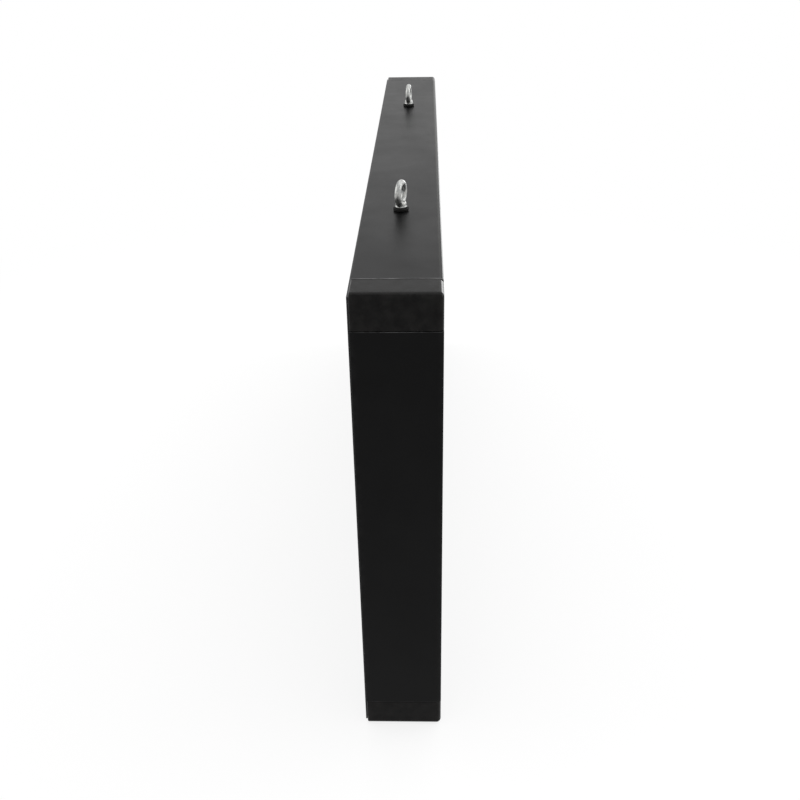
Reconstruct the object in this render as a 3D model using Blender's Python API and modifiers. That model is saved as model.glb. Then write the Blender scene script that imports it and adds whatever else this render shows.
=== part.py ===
# LED scrolling sign: a shallow black cabinet of extruded aluminium profiles joined by
# plastic corner blocks, holding two by two display modules, with two eye bolts on top.
#
# Metres. X runs along the sign, the display faces -Y, Z is up. The origin is the middle of
# the face that the cabinet stands on. Left and right are as seen from the display side.

import math

import bmesh
import bpy
from mathutils import Matrix, Vector

# Fits used everywhere
seat_gap = 0.0003
overrun = 0.002
joint_overlap = 0.0005
merge_distance = 0.00001

# Display module: pixel grid and the layers from its louvre tips to the back of its shell
columns = ("left", "right")
rows = ("bottom", "top")
pixels_along = 32
pixels_up = 16
pixel_pitch = 0.010
module_gap = 0.00025
face_recess = 0.001
louvre_depth = 0.004
louvre_thickness = 0.0012
louvre_droop = 0.0006
mask_thickness = 0.002
board_thickness = 0.0016
board_margin = 0.001
shell_depth = 0.0103
shell_border_along = 0.030
shell_border_up = 0.022
shell_rib = 0.006
shell_windows_along = 5
shell_windows_up = 2
module_screw_inset_along = 0.024
module_screw_inset_up = 0.012

# Cabinet frame: extruded profiles and corner blocks
bezel = 0.025
profile_wall = 0.0015
edge_radius = 0.003
inner_edge_radius = 0.001
rear_flange = 0.012
block_inset = 0.0004
block_wall = 0.003
tongue_length = 0.016

# Rails that carry the modules
rail_thickness = 0.0015
rail_width = 0.020
rail_lap = 0.018
wiring_room = 0.0067

# Power supply
supply_height = 0.030
supply_length = 0.212
supply_width = 0.081
supply_sheet = 0.0012
supply_lip = 0.006
supply_pillar = 0.004
supply_pillar_side = 0.006
supply_board_margin = 0.004
supply_lid_clearance = 0.002
terminal_length = 0.014
terminal_height = 0.013
terminal_bar = 0.0012
terminal_cells = 8
capacitor_radius = 0.008
component_gap = 0.006
transformer_length = 0.034
transformer_width = 0.030

# Back sheet
sheet_thickness = 0.0012
sheet_inset = 0.003
sheet_screw_inset = 0.008
vent_width = 0.0035
vent_height = 0.030
vent_pitch = 0.010
vent_count = 6
vent_from_edge = 0.060
vent_from_middle = 0.180

# Screws
screw_radius = 0.0015
screw_head_radius = 0.0028
screw_head_height = 0.0018
screw_clearance = 0.0003
screw_grip = 0.006
screw_sides = 8
countersink_depth = 0.00025

# Eye bolts
eye_left_from_end = 0.160
eye_right_from_end = 0.171
eye_left_turn = math.radians(-16.4)
eye_right_turn = math.radians(-5.7)
eye_ring_radius = 0.0078
eye_wire_radius = 0.0024
eye_flange_radius = 0.0047
eye_flange_height = 0.0010
eye_neck_radius = 0.0030
eye_neck_height = 0.0030
eye_ring_sink = 0.0010
eye_shank_radius = 0.0029
eye_shank_length = 0.016
eye_hole_clearance = 0.0004
rubber_washer_radius = 0.0058
rubber_washer_height = 0.0020
steel_washer_radius = 0.0090
steel_washer_height = 0.0015
nut_across_flats = 0.010
nut_height = 0.005

# Connectors on the module boards and the control card
header_width = 0.009
header_length = 0.028
header_height = 0.009
header_wall = 0.0012
header_floor = 0.002
plug_height = 0.006
power_header_width = 0.0085
power_header_length = 0.017
power_header_height = 0.0085
power_plug_height = 0.008
chip_length = 0.015
chip_width = 0.0075
chip_height = 0.002

# Control card
card_length = 0.100
card_width = 0.070
card_thickness = 0.0016
card_gap = 0.024
card_post_radius = 0.003
card_post_height = 0.008
card_post_inset = 0.005
card_tray_thickness = 0.0015
card_header_pitch = 0.040
card_header_side = 0.015

# Wiring
ribbon_width = 0.020
ribbon_thickness = 0.001
ribbon_exit = 0.0015
ribbon_arch = 0.003
ribbon_steps = 14
lead_radius = 0.0022
lead_point_spacing = 0.011
aerial_lead_radius = 0.0009
aerial_lead_point_spacing = 0.005

# Cable gland
gland_from_middle = 0.130
gland_up = 0.055
gland_bore = 0.0040
gland_thread_radius = 0.0060
gland_flats = 0.018
gland_hex_height = 0.005
gland_inner_length = 0.010
gland_outer_thread = 0.006
gland_dome_height = 0.014
gland_dome_mouth = 0.0055
gland_lock_height = 0.003
gland_seal_height = 0.003

# Aerial
aerial_from_end = 0.070
aerial_up = 0.105
aerial_thread_radius = 0.0031
aerial_flange_radius = 0.0050
aerial_flange_height = 0.002
aerial_thread_length = 0.008
aerial_running_gap = 0.0004
aerial_barrel_radius = 0.0052
aerial_barrel_length = 0.0105
aerial_pivot_out = 0.0055
aerial_ear_radius = 0.0042
aerial_ear_thickness = 0.002
aerial_tongue = 0.0040
aerial_pin_radius = 0.0013
aerial_whip_start = 0.0056
aerial_whip_length = 0.075
aerial_whip_radius = 0.0042
aerial_tip_radius = 0.0034

# Sizes that follow
module_length = pixels_along * pixel_pitch
module_height = pixels_up * pixel_pitch
length = len(columns) * module_length + 2 * bezel
height = len(rows) * module_height + 2 * bezel
chamber_depth = (face_recess + louvre_depth + mask_thickness + board_thickness
                 + shell_depth + 2 * seat_gap)
depth = chamber_depth + seat_gap + rail_thickness + wiring_room + supply_height
front = -depth / 2
back = depth / 2
mask_front = front + face_recess + louvre_depth
board_front = mask_front + mask_thickness + seat_gap
board_back = board_front + board_thickness
shell_front = board_back + seat_gap
shell_back = shell_front + shell_depth
header_top = board_back + header_height
power_header_top = board_back + power_header_height
rail_front = front + chamber_depth + seat_gap
rail_back = rail_front + rail_thickness
sheet_front = back + seat_gap
sheet_back = sheet_front + sheet_thickness
supply_front = back - supply_height
middle_up = height / 2
screw_hole = screw_radius + screw_clearance
eye_hole = eye_shank_radius + eye_hole_clearance
eye_across = (front + sheet_back) / 2

# Colour, roughness and metallic of each finish
finishes = {
    "black_coated_aluminium": ((0.017, 0.017, 0.018), 0.42, 0.0),
    "black_moulded_plastic": ((0.012, 0.011, 0.011), 0.62, 0.0),
    "black_painted_steel": ((0.020, 0.020, 0.021), 0.50, 0.0),
    "zinc_plated_steel": ((0.66, 0.67, 0.66), 0.28, 1.0),
    "black_rubber": ((0.010, 0.010, 0.010), 0.85, 0.0),
    "mask_plastic": ((0.013, 0.013, 0.014), 0.70, 0.0),
    "green_circuit_board": ((0.010, 0.085, 0.035), 0.40, 0.0),
    "grey_steel": ((0.52, 0.53, 0.54), 0.38, 1.0),
    "connector_plastic": ((0.020, 0.020, 0.022), 0.55, 0.0),
    "white_plastic": ((0.78, 0.77, 0.73), 0.45, 0.0),
    "ribbon_grey": ((0.36, 0.37, 0.38), 0.55, 0.0),
    "sheathed_lead": ((0.30, 0.012, 0.010), 0.50, 0.0),
    "capacitor_sleeve": ((0.020, 0.030, 0.070), 0.35, 0.0),
    "transformer_tape": ((0.62, 0.48, 0.08), 0.45, 0.0),
    "gold_plate": ((0.83, 0.60, 0.24), 0.30, 1.0),
}


def clear_scene():
    for item in list(bpy.data.objects):
        bpy.data.objects.remove(item, do_unlink=True)


def new_collection(name):
    collection = bpy.data.collections.new(name)
    bpy.context.scene.collection.children.link(collection)
    return collection


def finish_material(finish):
    material = bpy.data.materials.get(finish)
    if material is None:
        colour, roughness, metallic = finishes[finish]
        material = bpy.data.materials.new(finish)
        material.use_nodes = True
        shader = material.node_tree.nodes["Principled BSDF"]
        shader.inputs["Base Color"].default_value = (*colour, 1)
        shader.inputs["Roughness"].default_value = roughness
        shader.inputs["Metallic"].default_value = metallic
    return material


def place(name, mesh, finish, location=(0, 0, 0)):
    """Links a mesh as a part, or as a cutter when it has no finish."""
    piece = bpy.data.objects.new(name, mesh)
    piece.location = location
    if finish is None:
        cutters.objects.link(piece)
        piece.hide_render = True
        piece.display_type = "WIRE"
    else:
        parts.objects.link(piece)
        mesh.materials.clear()
        mesh.materials.append(finish_material(finish))
        mesh.shade_smooth()
        mesh.set_sharp_from_angle(angle=math.radians(35))
    return piece


def turn_from_z(axis):
    return Vector((0, 0, 1)).rotation_difference(Vector(axis)).to_matrix().to_4x4()


def boxes(name, size, centres, finish=None, location=(0, 0, 0)):
    """One box of the given size at each centre."""
    shape = bmesh.new()
    for centre in centres:
        matrix = Matrix.Translation(centre) @ Matrix.Diagonal((*size, 1))
        bmesh.ops.create_cube(shape, size=1, matrix=matrix)
    mesh = bpy.data.meshes.new(name)
    shape.to_mesh(mesh)
    shape.free()
    return place(name, mesh, finish, location)


def box_between(name, low, high, finish=None):
    """One box between two corners, with its origin at its centre."""
    size = [b - a for a, b in zip(low, high)]
    centre = [(a + b) / 2 for a, b in zip(low, high)]
    return boxes(name, size, [(0, 0, 0)], finish, centre)


def rods(name, radius, span, axis, centres, sides=12, finish=None, location=(0, 0, 0)):
    """One capped cylinder at each centre, along the axis."""
    shape = bmesh.new()
    for centre in centres:
        matrix = Matrix.Translation(centre) @ turn_from_z(axis)
        bmesh.ops.create_cone(shape, cap_ends=True, segments=sides, radius1=radius,
                              radius2=radius, depth=span, matrix=matrix)
    mesh = bpy.data.meshes.new(name)
    shape.to_mesh(mesh)
    shape.free()
    return place(name, mesh, finish, location)


def solid_outline(name, loops, thickness, finish=None, location=(0, 0, 0), rotation=(0, 0, 0)):
    """A flat outline, with any inner loops as holes, given a thickness along its own Z."""
    curve = bpy.data.curves.new(name, "CURVE")
    curve.dimensions = "2D"
    curve.fill_mode = "BOTH"
    curve.extrude = thickness / 2
    for loop in loops:
        spline = curve.splines.new("POLY")
        spline.points.add(len(loop) - 1)
        for point, (across, along) in zip(spline.points, loop):
            point.co = (across, along, 0, 1)
        spline.use_cyclic_u = True
    outline = bpy.data.objects.new(name + "_outline", curve)
    outline.location = location
    outline.rotation_euler = rotation
    return welded_copy(outline, name, finish)


def welded_copy(curve_object, name, finish):
    """The curve as a mesh object with its caps welded on, in the curve's place."""
    bpy.context.scene.collection.objects.link(curve_object)
    bpy.context.view_layer.update()
    evaluated = curve_object.evaluated_get(bpy.context.evaluated_depsgraph_get())
    mesh = bpy.data.meshes.new_from_object(evaluated)
    matrix = curve_object.matrix_world.copy()
    bpy.data.objects.remove(curve_object, do_unlink=True)
    shape = bmesh.new()
    shape.from_mesh(mesh)
    bmesh.ops.remove_doubles(shape, verts=shape.verts, dist=merge_distance)
    bmesh.ops.recalc_face_normals(shape, faces=shape.faces)
    shape.to_mesh(mesh)
    shape.free()
    mesh.name = name
    piece = place(name, mesh, finish)
    piece.matrix_world = matrix
    return piece


def turned(name, profile, steps, finish=None, location=(0, 0, 0), axis=(0, 0, 1)):
    """A profile of radius and height, top to bottom, turned about the axis."""
    mesh = bpy.data.meshes.new(name)
    mesh.from_pydata([(radius, 0, up) for radius, up in profile],
                     [(i, i + 1) for i in range(len(profile) - 1)], [])
    piece = place(name, mesh, finish, location)
    piece.rotation_mode = "QUATERNION"
    piece.rotation_quaternion = Vector((0, 0, 1)).rotation_difference(Vector(axis))
    screw = piece.modifiers.new("turn", "SCREW")
    screw.steps = steps
    screw.render_steps = steps
    screw.use_merge_vertices = True
    screw.merge_threshold = merge_distance
    screw.use_smooth_shade = False
    return piece


def change(piece, other, operation):
    modifier = piece.modifiers.new(operation.lower(), "BOOLEAN")
    modifier.operation = operation
    modifier.solver = "EXACT"
    modifier.object = other


def cut(piece, *tools):
    for tool in tools:
        change(piece, tool, "DIFFERENCE")


def join(piece, *others):
    for other in others:
        change(piece, other, "UNION")


def arc(centre, radius, start, end, steps):
    """Points of an arc, its angles in degrees."""
    angles = [math.radians(start + (end - start) * i / steps) for i in range(steps + 1)]
    return [(centre[0] + radius * math.cos(a), centre[1] + radius * math.sin(a)) for a in angles]


def hexagon(across_flats):
    """Corner radius of a hexagon."""
    return across_flats / 2 / math.cos(math.radians(30))


def join_screws(piece, name, places, axis):
    """Pan head screws joined to the piece that they hold. A place is where a head sits."""
    out = Vector(axis)
    head_span = screw_head_height + joint_overlap
    heads = [Vector(p) + out * (screw_head_height - joint_overlap) / 2 for p in places]
    shanks = [Vector(p) - out * screw_grip / 2 for p in places]
    join(piece, rods(name + "_heads", screw_head_radius, head_span, axis, heads, screw_sides),
         rods(name + "_shanks", screw_radius, screw_grip, axis, shanks, screw_sides))


def screw_bores(name, places, axis, span):
    return rods(name, screw_hole, span, axis, places, screw_sides)


# Cabinet frame

def profile_loops():
    """Section of the extrusion: inwards from its outer face, and back from its front."""
    outer = arc((edge_radius, edge_radius), edge_radius, 270, 180, 4)
    outer += [(0, depth), (rear_flange, depth), (rear_flange, depth - profile_wall),
              (profile_wall, depth - profile_wall), (profile_wall, chamber_depth),
              (bezel, chamber_depth)]
    outer += arc((bezel - inner_edge_radius, inner_edge_radius), inner_edge_radius, 0, -90, 2)
    chamber = [(profile_wall, profile_wall), (bezel - profile_wall, profile_wall),
               (bezel - profile_wall, chamber_depth - profile_wall),
               (profile_wall, chamber_depth - profile_wall)]
    return [outer, chamber]


def rail_places():
    """Centre and width of each rail along the sign."""
    side = module_length - module_screw_inset_along
    middle_width = 2 * module_screw_inset_along + rail_width
    return {"left": (-side, rail_width), "centre": (0, middle_width), "right": (side, rail_width)}


def rail_screw_places():
    """Rail screws, as along and up, on the rear wall of the top and bottom chambers."""
    places = []
    for name, (along, width) in rail_places().items():
        offsets = (-width / 4, width / 4) if name == "centre" else (0,)
        for offset in offsets:
            for up in (bezel - rail_lap / 2, height - bezel + rail_lap / 2):
                places.append((along + offset, up))
    return places


def sheet_screw_places():
    """Screws round the edge of the back sheet, as along and up."""
    horizontal_shares = (-0.42, -0.14, 0.14, 0.42)
    vertical_shares = (-0.28, 0.28)
    places = [(share * length, up) for share in horizontal_shares
              for up in (sheet_screw_inset, height - sheet_screw_inset)]
    places += [(along, middle_up + share * height) for share in vertical_shares
               for along in (sheet_screw_inset - length / 2, length / 2 - sheet_screw_inset)]
    return places


def corner_screw_places():
    """Screws that hold the corner tongues in the chambers, as along and up."""
    along = length / 2 - bezel - tongue_length / 2
    side = length / 2 - bezel / 2
    places = [(sign * along, up) for sign in (-1, 1) for up in (bezel / 2, height - bezel / 2)]
    up = bezel + tongue_length / 2
    places += [(sign * side, z) for sign in (-1, 1) for z in (up, height - up)]
    return places


def make_profiles():
    sheet_bores = screw_bores("sheet_screw_bores", [(x, back, z) for x, z in sheet_screw_places()],
                              (0, 1, 0), 4 * profile_wall)
    chamber_bores = screw_bores("chamber_screw_bores", [
        (x, front + chamber_depth - profile_wall / 2, z)
        for x, z in rail_screw_places() + corner_screw_places()], (0, 1, 0), 2 * profile_wall)
    eye_bores = rods("eye_bolt_bores", eye_hole, 4 * profile_wall, (0, 0, 1),
                     [(x, eye_across, height) for x in eye_places()], 16)
    horizontal = length - 2 * (bezel + seat_gap)
    vertical = height - 2 * (bezel + seat_gap)
    layout = {
        "bottom_profile": ((0, front, 0), -90, horizontal),
        "left_profile": ((-length / 2, front, middle_up), 0, vertical),
        "top_profile": ((0, front, height), 90, horizontal),
        "right_profile": ((length / 2, front, middle_up), 180, vertical),
    }
    for name, (location, turn, span) in layout.items():
        profile = solid_outline(name, profile_loops(), span, "black_coated_aluminium", location,
                                (0, math.radians(turn), 0))
        cut(profile, sheet_bores, chamber_bores)
        if name == "top_profile":
            cut(profile, eye_bores)


def rounded_block(name, finish):
    """The corner cube, its outside corner at the origin, rounded on its outer edges."""
    low = (block_inset, 0, block_inset)
    high = (bezel, depth, bezel)
    shape = bmesh.new()
    size = [b - a for a, b in zip(low, high)]
    centre = [(a + b) / 2 for a, b in zip(low, high)]
    bmesh.ops.create_cube(shape, size=1, matrix=Matrix.Translation(centre)
                          @ Matrix.Diagonal((*size, 1)))
    middle = Vector(centre)
    rounded = []
    for edge in shape.edges:
        point = (edge.verts[0].co + edge.verts[1].co) / 2 - middle
        outer_corner = point.x < 0 and point.z < 0
        front_edge = point.y < 0 and (point.x < 0 or point.z < 0)
        if outer_corner and abs(point.y) < size[1] / 4 or front_edge:
            rounded.append(edge)
    bmesh.ops.bevel(shape, geom=rounded, offset=edge_radius, segments=3, profile=0.5,
                    affect="EDGES")
    mesh = bpy.data.meshes.new(name)
    shape.to_mesh(mesh)
    shape.free()
    return place(name, mesh, finish)


def make_corner_blocks():
    """Four alike blocks, each turned a quarter further about the sign's depth axis."""
    fit = profile_wall + seat_gap
    tongue_low, tongue_high = fit, bezel - fit
    tongue_back = chamber_depth - fit
    head_seat = chamber_depth + seat_gap
    screw_places = [(bezel + tongue_length / 2, head_seat, bezel / 2),
                    (bezel / 2, head_seat, bezel + tongue_length / 2)]
    turns = {
        "corner_block_bottom_left": ((-length / 2, front, 0), 0),
        "corner_block_top_left": ((-length / 2, front, height), 90),
        "corner_block_top_right": ((length / 2, front, height), 180),
        "corner_block_bottom_right": ((length / 2, front, 0), 270),
    }
    for name, (location, turn) in turns.items():
        block = rounded_block(name, "black_moulded_plastic")
        tongues = [
            box_between(name + "_level_tongue", (bezel - overrun, fit, tongue_low),
                        (bezel + tongue_length, tongue_back, tongue_high)),
            box_between(name + "_upright_tongue", (tongue_low, fit, bezel - overrun),
                        (tongue_high, tongue_back, bezel + tongue_length)),
        ]
        pocket = box_between(name + "_pocket", (block_wall, chamber_depth, block_wall),
                             (bezel + overrun, depth - block_wall, bezel + overrun))
        head = screw_head_height / 2
        heads = rods(name + "_heads", screw_head_radius, screw_head_height, (0, 1, 0),
                     [(x, y + head, z) for x, y, z in screw_places], screw_sides)
        shank_high = head_seat + head
        shank = screw_grip + head
        shanks = rods(name + "_shanks", screw_radius, shank, (0, 1, 0),
                      [(x, shank_high - shank / 2, z) for x, _, z in screw_places],
                      screw_sides)
        join(block, *tongues)
        cut(block, pocket)
        join(block, shanks, heads)
        for piece in [block, pocket, heads, shanks] + tongues:
            piece.matrix_world = (Matrix.Translation(location)
                                  @ Matrix.Rotation(math.radians(turn), 4, "Y")
                                  @ piece.matrix_basis)


# Hanging hardware

def eye_places():
    return (eye_left_from_end - length / 2, length / 2 - eye_right_from_end)


def make_eye_bolt(name, along, turn):
    """A ring on a flanged neck and a shank, its origin on its own axis at the top face."""
    flange_low = rubber_washer_height + 2 * seat_gap
    flange_high = flange_low + eye_flange_height
    neck_high = flange_high + eye_neck_height
    profile = [(0, neck_high), (eye_neck_radius, neck_high), (eye_flange_radius, flange_high),
               (eye_flange_radius, flange_low), (eye_shank_radius, flange_low),
               (eye_shank_radius, -eye_shank_length), (0, -eye_shank_length)]
    bolt = turned(name, profile, 16, "zinc_plated_steel", (along, eye_across, height))
    ring_up = flange_high + eye_ring_radius + eye_wire_radius - eye_ring_sink
    bpy.ops.mesh.primitive_torus_add(major_radius=eye_ring_radius, minor_radius=eye_wire_radius,
                                     major_segments=24, minor_segments=10,
                                     location=(along, eye_across, height + ring_up),
                                     rotation=(math.radians(90), 0, turn))
    ring = bpy.context.object
    ring.name = name + "_ring"
    for collection in list(ring.users_collection):
        collection.objects.unlink(ring)
    cutters.objects.link(ring)
    ring.hide_render = True
    ring.display_type = "WIRE"
    join(bolt, ring)


def washer(name, centre, outer, thickness, finish, sides=20):
    """A ring with the eye bolt's clearance hole through it."""
    piece = rods(name, outer, thickness, (0, 0, 1), [(0, 0, 0)], sides, finish, centre)
    cut(piece, rods(name + "_bore", eye_hole, thickness + 2 * overrun, (0, 0, 1),
                    [(0, 0, 0)], 16, None, centre))


def make_hanging_hardware():
    wall_low = height - profile_wall
    rubber_up = height + seat_gap + rubber_washer_height / 2
    steel_up = wall_low - seat_gap - steel_washer_height / 2
    nut_up = steel_up - steel_washer_height / 2 - seat_gap - nut_height / 2
    for side, along, turn in zip(columns, eye_places(), (eye_left_turn, eye_right_turn)):
        make_eye_bolt("eye_bolt_" + side, along, turn)
        washer("rubber_washer_" + side, (along, eye_across, rubber_up), rubber_washer_radius,
               rubber_washer_height, "black_rubber")
        washer("steel_washer_" + side, (along, eye_across, steel_up), steel_washer_radius,
               steel_washer_height, "zinc_plated_steel")
        washer("eye_bolt_nut_" + side, (along, eye_across, nut_up), hexagon(nut_across_flats),
               nut_height, "zinc_plated_steel", 6)


# Display modules

def module_centre(column, row):
    along = (columns.index(column) - (len(columns) - 1) / 2) * module_length
    up = bezel + (rows.index(row) + 0.5) * module_height
    return along, up


def module_cells():
    return [(column, row) + module_centre(column, row) for column in columns for row in rows]


def mask_loop():
    """Section of the mask: forward from its back, and up. A louvre roofs each pixel row."""
    back_face = -mask_thickness
    half = module_height / 2 - module_gap
    loop = [(back_face, -half), (back_face, half)]
    for row in range(pixels_up):
        top = half - row * pixel_pitch * half / (module_height / 2)
        loop += [(0, top) if row else (0, half), (louvre_depth, top - louvre_droop),
                 (louvre_depth, top - louvre_droop - louvre_thickness),
                 (0, top - louvre_thickness)]
    loop.append((0, -half))
    return loop


def window_size():
    along = module_length - 2 * shell_border_along - (shell_windows_along - 1) * shell_rib
    up = module_height - 2 * shell_border_up - (shell_windows_up - 1) * shell_rib
    return along / shell_windows_along, up / shell_windows_up


def window_centre(column_index, row_index):
    """Middle of one window of the shell, from the middle of its module."""
    along, up = window_size()
    return ((column_index - (shell_windows_along - 1) / 2) * (along + shell_rib),
            (row_index - (shell_windows_up - 1) / 2) * (up + shell_rib))


def module_screw_offsets():
    along = module_length / 2 - module_screw_inset_along
    up = module_height / 2 - module_screw_inset_up
    return [(sx * along, sz * up) for sx in (-1, 1) for sz in (-1, 1)]


def make_modules():
    mask_length = module_length - 2 * module_gap
    half_up = module_height / 2 - module_gap
    window_along, window_up = window_size()
    windows = [window_centre(i, j) for i in range(shell_windows_along)
               for j in range(shell_windows_up)]
    middle = (shell_front + shell_back) / 2
    for column, row, along, up in module_cells():
        name = row + "_" + column
        solid_outline("mask_" + name, [mask_loop()], mask_length, "mask_plastic",
                      (along, mask_front, up), (math.radians(90), 0, math.radians(-90)))
        make_board("board_" + name, along, up, mask_length / 2 - board_margin,
                   half_up - board_margin)
        shell = box_between("shell_" + name, (along - mask_length / 2, shell_front, up - half_up),
                            (along + mask_length / 2, shell_back, up + half_up),
                            "black_moulded_plastic")
        cut(shell, boxes("windows_" + name, (window_along, shell_depth + 2 * overrun, window_up),
                         [(along + x, middle, up + z) for x, z in windows]),
            screw_bores("shell_bores_" + name,
                        [(along + x, middle, up + z) for x, z in module_screw_offsets()],
                        (0, 1, 0), shell_depth + 2 * overrun))


def make_board(name, along, up, half_along, half_up):
    """A module's circuit board with the ribbon, power and driver parts on its back."""
    board = box_between(name, (along - half_along, board_front, up - half_up),
                        (along + half_along, board_back, up + half_up), "green_circuit_board")
    seat = board_back - joint_overlap
    ends = [window_centre(i, 1) for i in (0, shell_windows_along - 1)]
    headers = [(along + x, (seat + header_top) / 2, up + z) for x, z in ends]
    x, z = window_centre(shell_windows_along // 2, 0)
    power = (along + x, (seat + power_header_top) / 2, up + z)
    chips = [(along + window_centre(i, j)[0], (seat + board_back + chip_height) / 2,
              up + window_centre(i, j)[1] + side * chip_width)
             for i in (1, shell_windows_along - 2) for j in range(shell_windows_up)
             for side in (-1, 1)]
    join(board,
         boxes(name + "_headers", (header_width, header_top - seat, header_length), headers),
         boxes(name + "_power", (power_header_width, power_header_top - seat,
                                 power_header_length), [power]),
         boxes(name + "_chips", (chip_length, chip_height + joint_overlap, chip_width), chips))
    cut(board, header_hollows(name, headers, header_top, 1))


def header_hollows(name, centres, top, facing):
    """The open mouths of ribbon headers, which face back or forward."""
    reach = header_height - header_floor
    size = (header_width - 2 * header_wall, reach + overrun, header_length - 2 * header_wall)
    middle = top + facing * (overrun - reach) / 2
    return boxes(name + "_hollows", size, [(x, middle, z) for x, _, z in centres])


def make_rails():
    """Each rail carries the screws that hold it to the frame and the modules to it."""
    places = [(x, rail_back, z) for x, z in rail_screw_places()]
    places += [(mx + x, rail_back, mz + z)
               for _, _, mx, mz in module_cells() for x, z in module_screw_offsets()]
    for name, (along, width) in rail_places().items():
        rail = box_between("rail_" + name, (along - width / 2, rail_front, bezel - rail_lap),
                           (along + width / 2, rail_back, height - bezel + rail_lap),
                           "grey_steel")
        near = [p for p in places if abs(p[0] - along) < width / 2]
        join_screws(rail, "rail_" + name, near, (0, 1, 0))


# Power supply

def make_power_supply():
    half_length, half_width = supply_length / 2, supply_width / 2
    tray_inside = back - supply_sheet
    wall_front = supply_front + supply_sheet + seat_gap
    tray = [(back, -half_width), (back, half_width), (wall_front, half_width),
            (wall_front, half_width - supply_sheet), (tray_inside, half_width - supply_sheet),
            (tray_inside, supply_sheet - half_width), (wall_front, supply_sheet - half_width),
            (wall_front, -half_width)]
    upright = (math.radians(90), 0, math.radians(90))
    tray_piece = solid_outline("supply_tray", [tray], supply_length, "grey_steel",
                               (0, 0, middle_up), upright)
    board_half = (half_length - supply_board_margin,
                  half_width - supply_sheet - supply_board_margin / 2)
    pillar = (supply_pillar_side, supply_pillar + overrun / 2, supply_pillar_side)
    pillar_places = [(sx * (board_half[0] - supply_pillar_side), tray_inside
                      - supply_pillar / 2 + overrun / 4,
                      middle_up + sz * (board_half[1] - supply_pillar_side))
                     for sx in (-1, 1) for sz in (-1, 1)]
    join(tray_piece, boxes("supply_pillars", pillar, pillar_places))
    cut(tray_piece, screw_bores("supply_bores", [(x, back, z) for x, z in supply_screw_places()],
                                (0, 1, 0), 2 * screw_grip))
    lip = half_width - supply_sheet - seat_gap
    lid_back = supply_front + supply_sheet
    lid = [(supply_front, -half_width), (lid_back, -half_width), (lid_back, -lip),
           (lid_back + supply_lip, -lip), (lid_back + supply_lip, supply_sheet - lip),
           (lid_back, supply_sheet - lip), (lid_back, lip - supply_sheet),
           (lid_back + supply_lip, lip - supply_sheet), (lid_back + supply_lip, lip),
           (lid_back, lip), (lid_back, half_width), (supply_front, half_width)]
    lid_length = supply_length - terminal_length - supply_board_margin
    solid_outline("supply_lid", [lid], lid_length, "grey_steel",
                  ((supply_length - lid_length) / 2, 0, middle_up), upright)
    board_high = tray_inside - supply_pillar - seat_gap
    board_low = board_high - board_thickness
    box_between("supply_board", (-board_half[0], board_low, middle_up - board_half[1]),
                (board_half[0], board_high, middle_up + board_half[1]), "green_circuit_board")
    make_supply_components(board_half, supply_seat(), lid_back + supply_lid_clearance)


def supply_seat():
    """Front of the supply's board, less the gap that its components keep to it."""
    return back - supply_sheet - supply_pillar - board_thickness - 2 * seat_gap


def supply_screw_places():
    return [(sx * supply_length / 3, middle_up) for sx in (-1, 1)]


def make_supply_components(board_half, seat, top):
    """What stands on the supply's board: terminals, capacitors and transformer."""
    left = -board_half[0]
    terminal_width = 2 * (board_half[1] - component_gap)
    terminal = box_between("terminal_block",
                           (left, seat - terminal_height, middle_up - terminal_width / 2),
                           (left + terminal_length, seat, middle_up + terminal_width / 2),
                           "connector_plastic")
    cell = (terminal_width - (terminal_cells + 1) * terminal_bar) / terminal_cells
    cell_pitch = cell + terminal_bar
    cells = [(left + terminal_length / 2 + terminal_bar, seat - terminal_height,
              middle_up + (i - (terminal_cells - 1) / 2) * cell_pitch)
             for i in range(terminal_cells)]
    cut(terminal, boxes("terminal_cells", (terminal_length, terminal_height, cell), cells))
    bank_along = left + terminal_length + component_gap + capacitor_radius
    bank_pitch = 2 * capacitor_radius + component_gap / 2
    for name, i in (("lower", -1), ("middle", 0), ("upper", 1)):
        rods("capacitor_" + name, capacitor_radius, seat - top, (0, 1, 0), [(0, 0, 0)], 12,
             "capacitor_sleeve", (bank_along, (seat + top) / 2, middle_up + i * bank_pitch))
    core_along = bank_along + capacitor_radius + component_gap
    box_between("supply_transformer", (core_along, top, middle_up - transformer_width / 2),
                (core_along + transformer_length, seat, middle_up + transformer_width / 2),
                "transformer_tape")


# Control card

def card_centre():
    return supply_length / 2 + card_gap + card_width / 2


def card_front():
    return back - card_post_height - seat_gap - card_thickness


def card_sockets():
    """Ribbon headers of the control card, as along and up."""
    along = card_centre() - card_header_side
    return {"top": (along, middle_up + card_header_pitch / 2),
            "bottom": (along, middle_up - card_header_pitch / 2)}


def card_post_places():
    along = card_width / 2 - card_post_inset
    up = card_length / 2 - card_post_inset
    return [(card_centre() + sx * along, middle_up + sz * up) for sx in (-1, 1) for sz in (-1, 1)]


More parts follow.
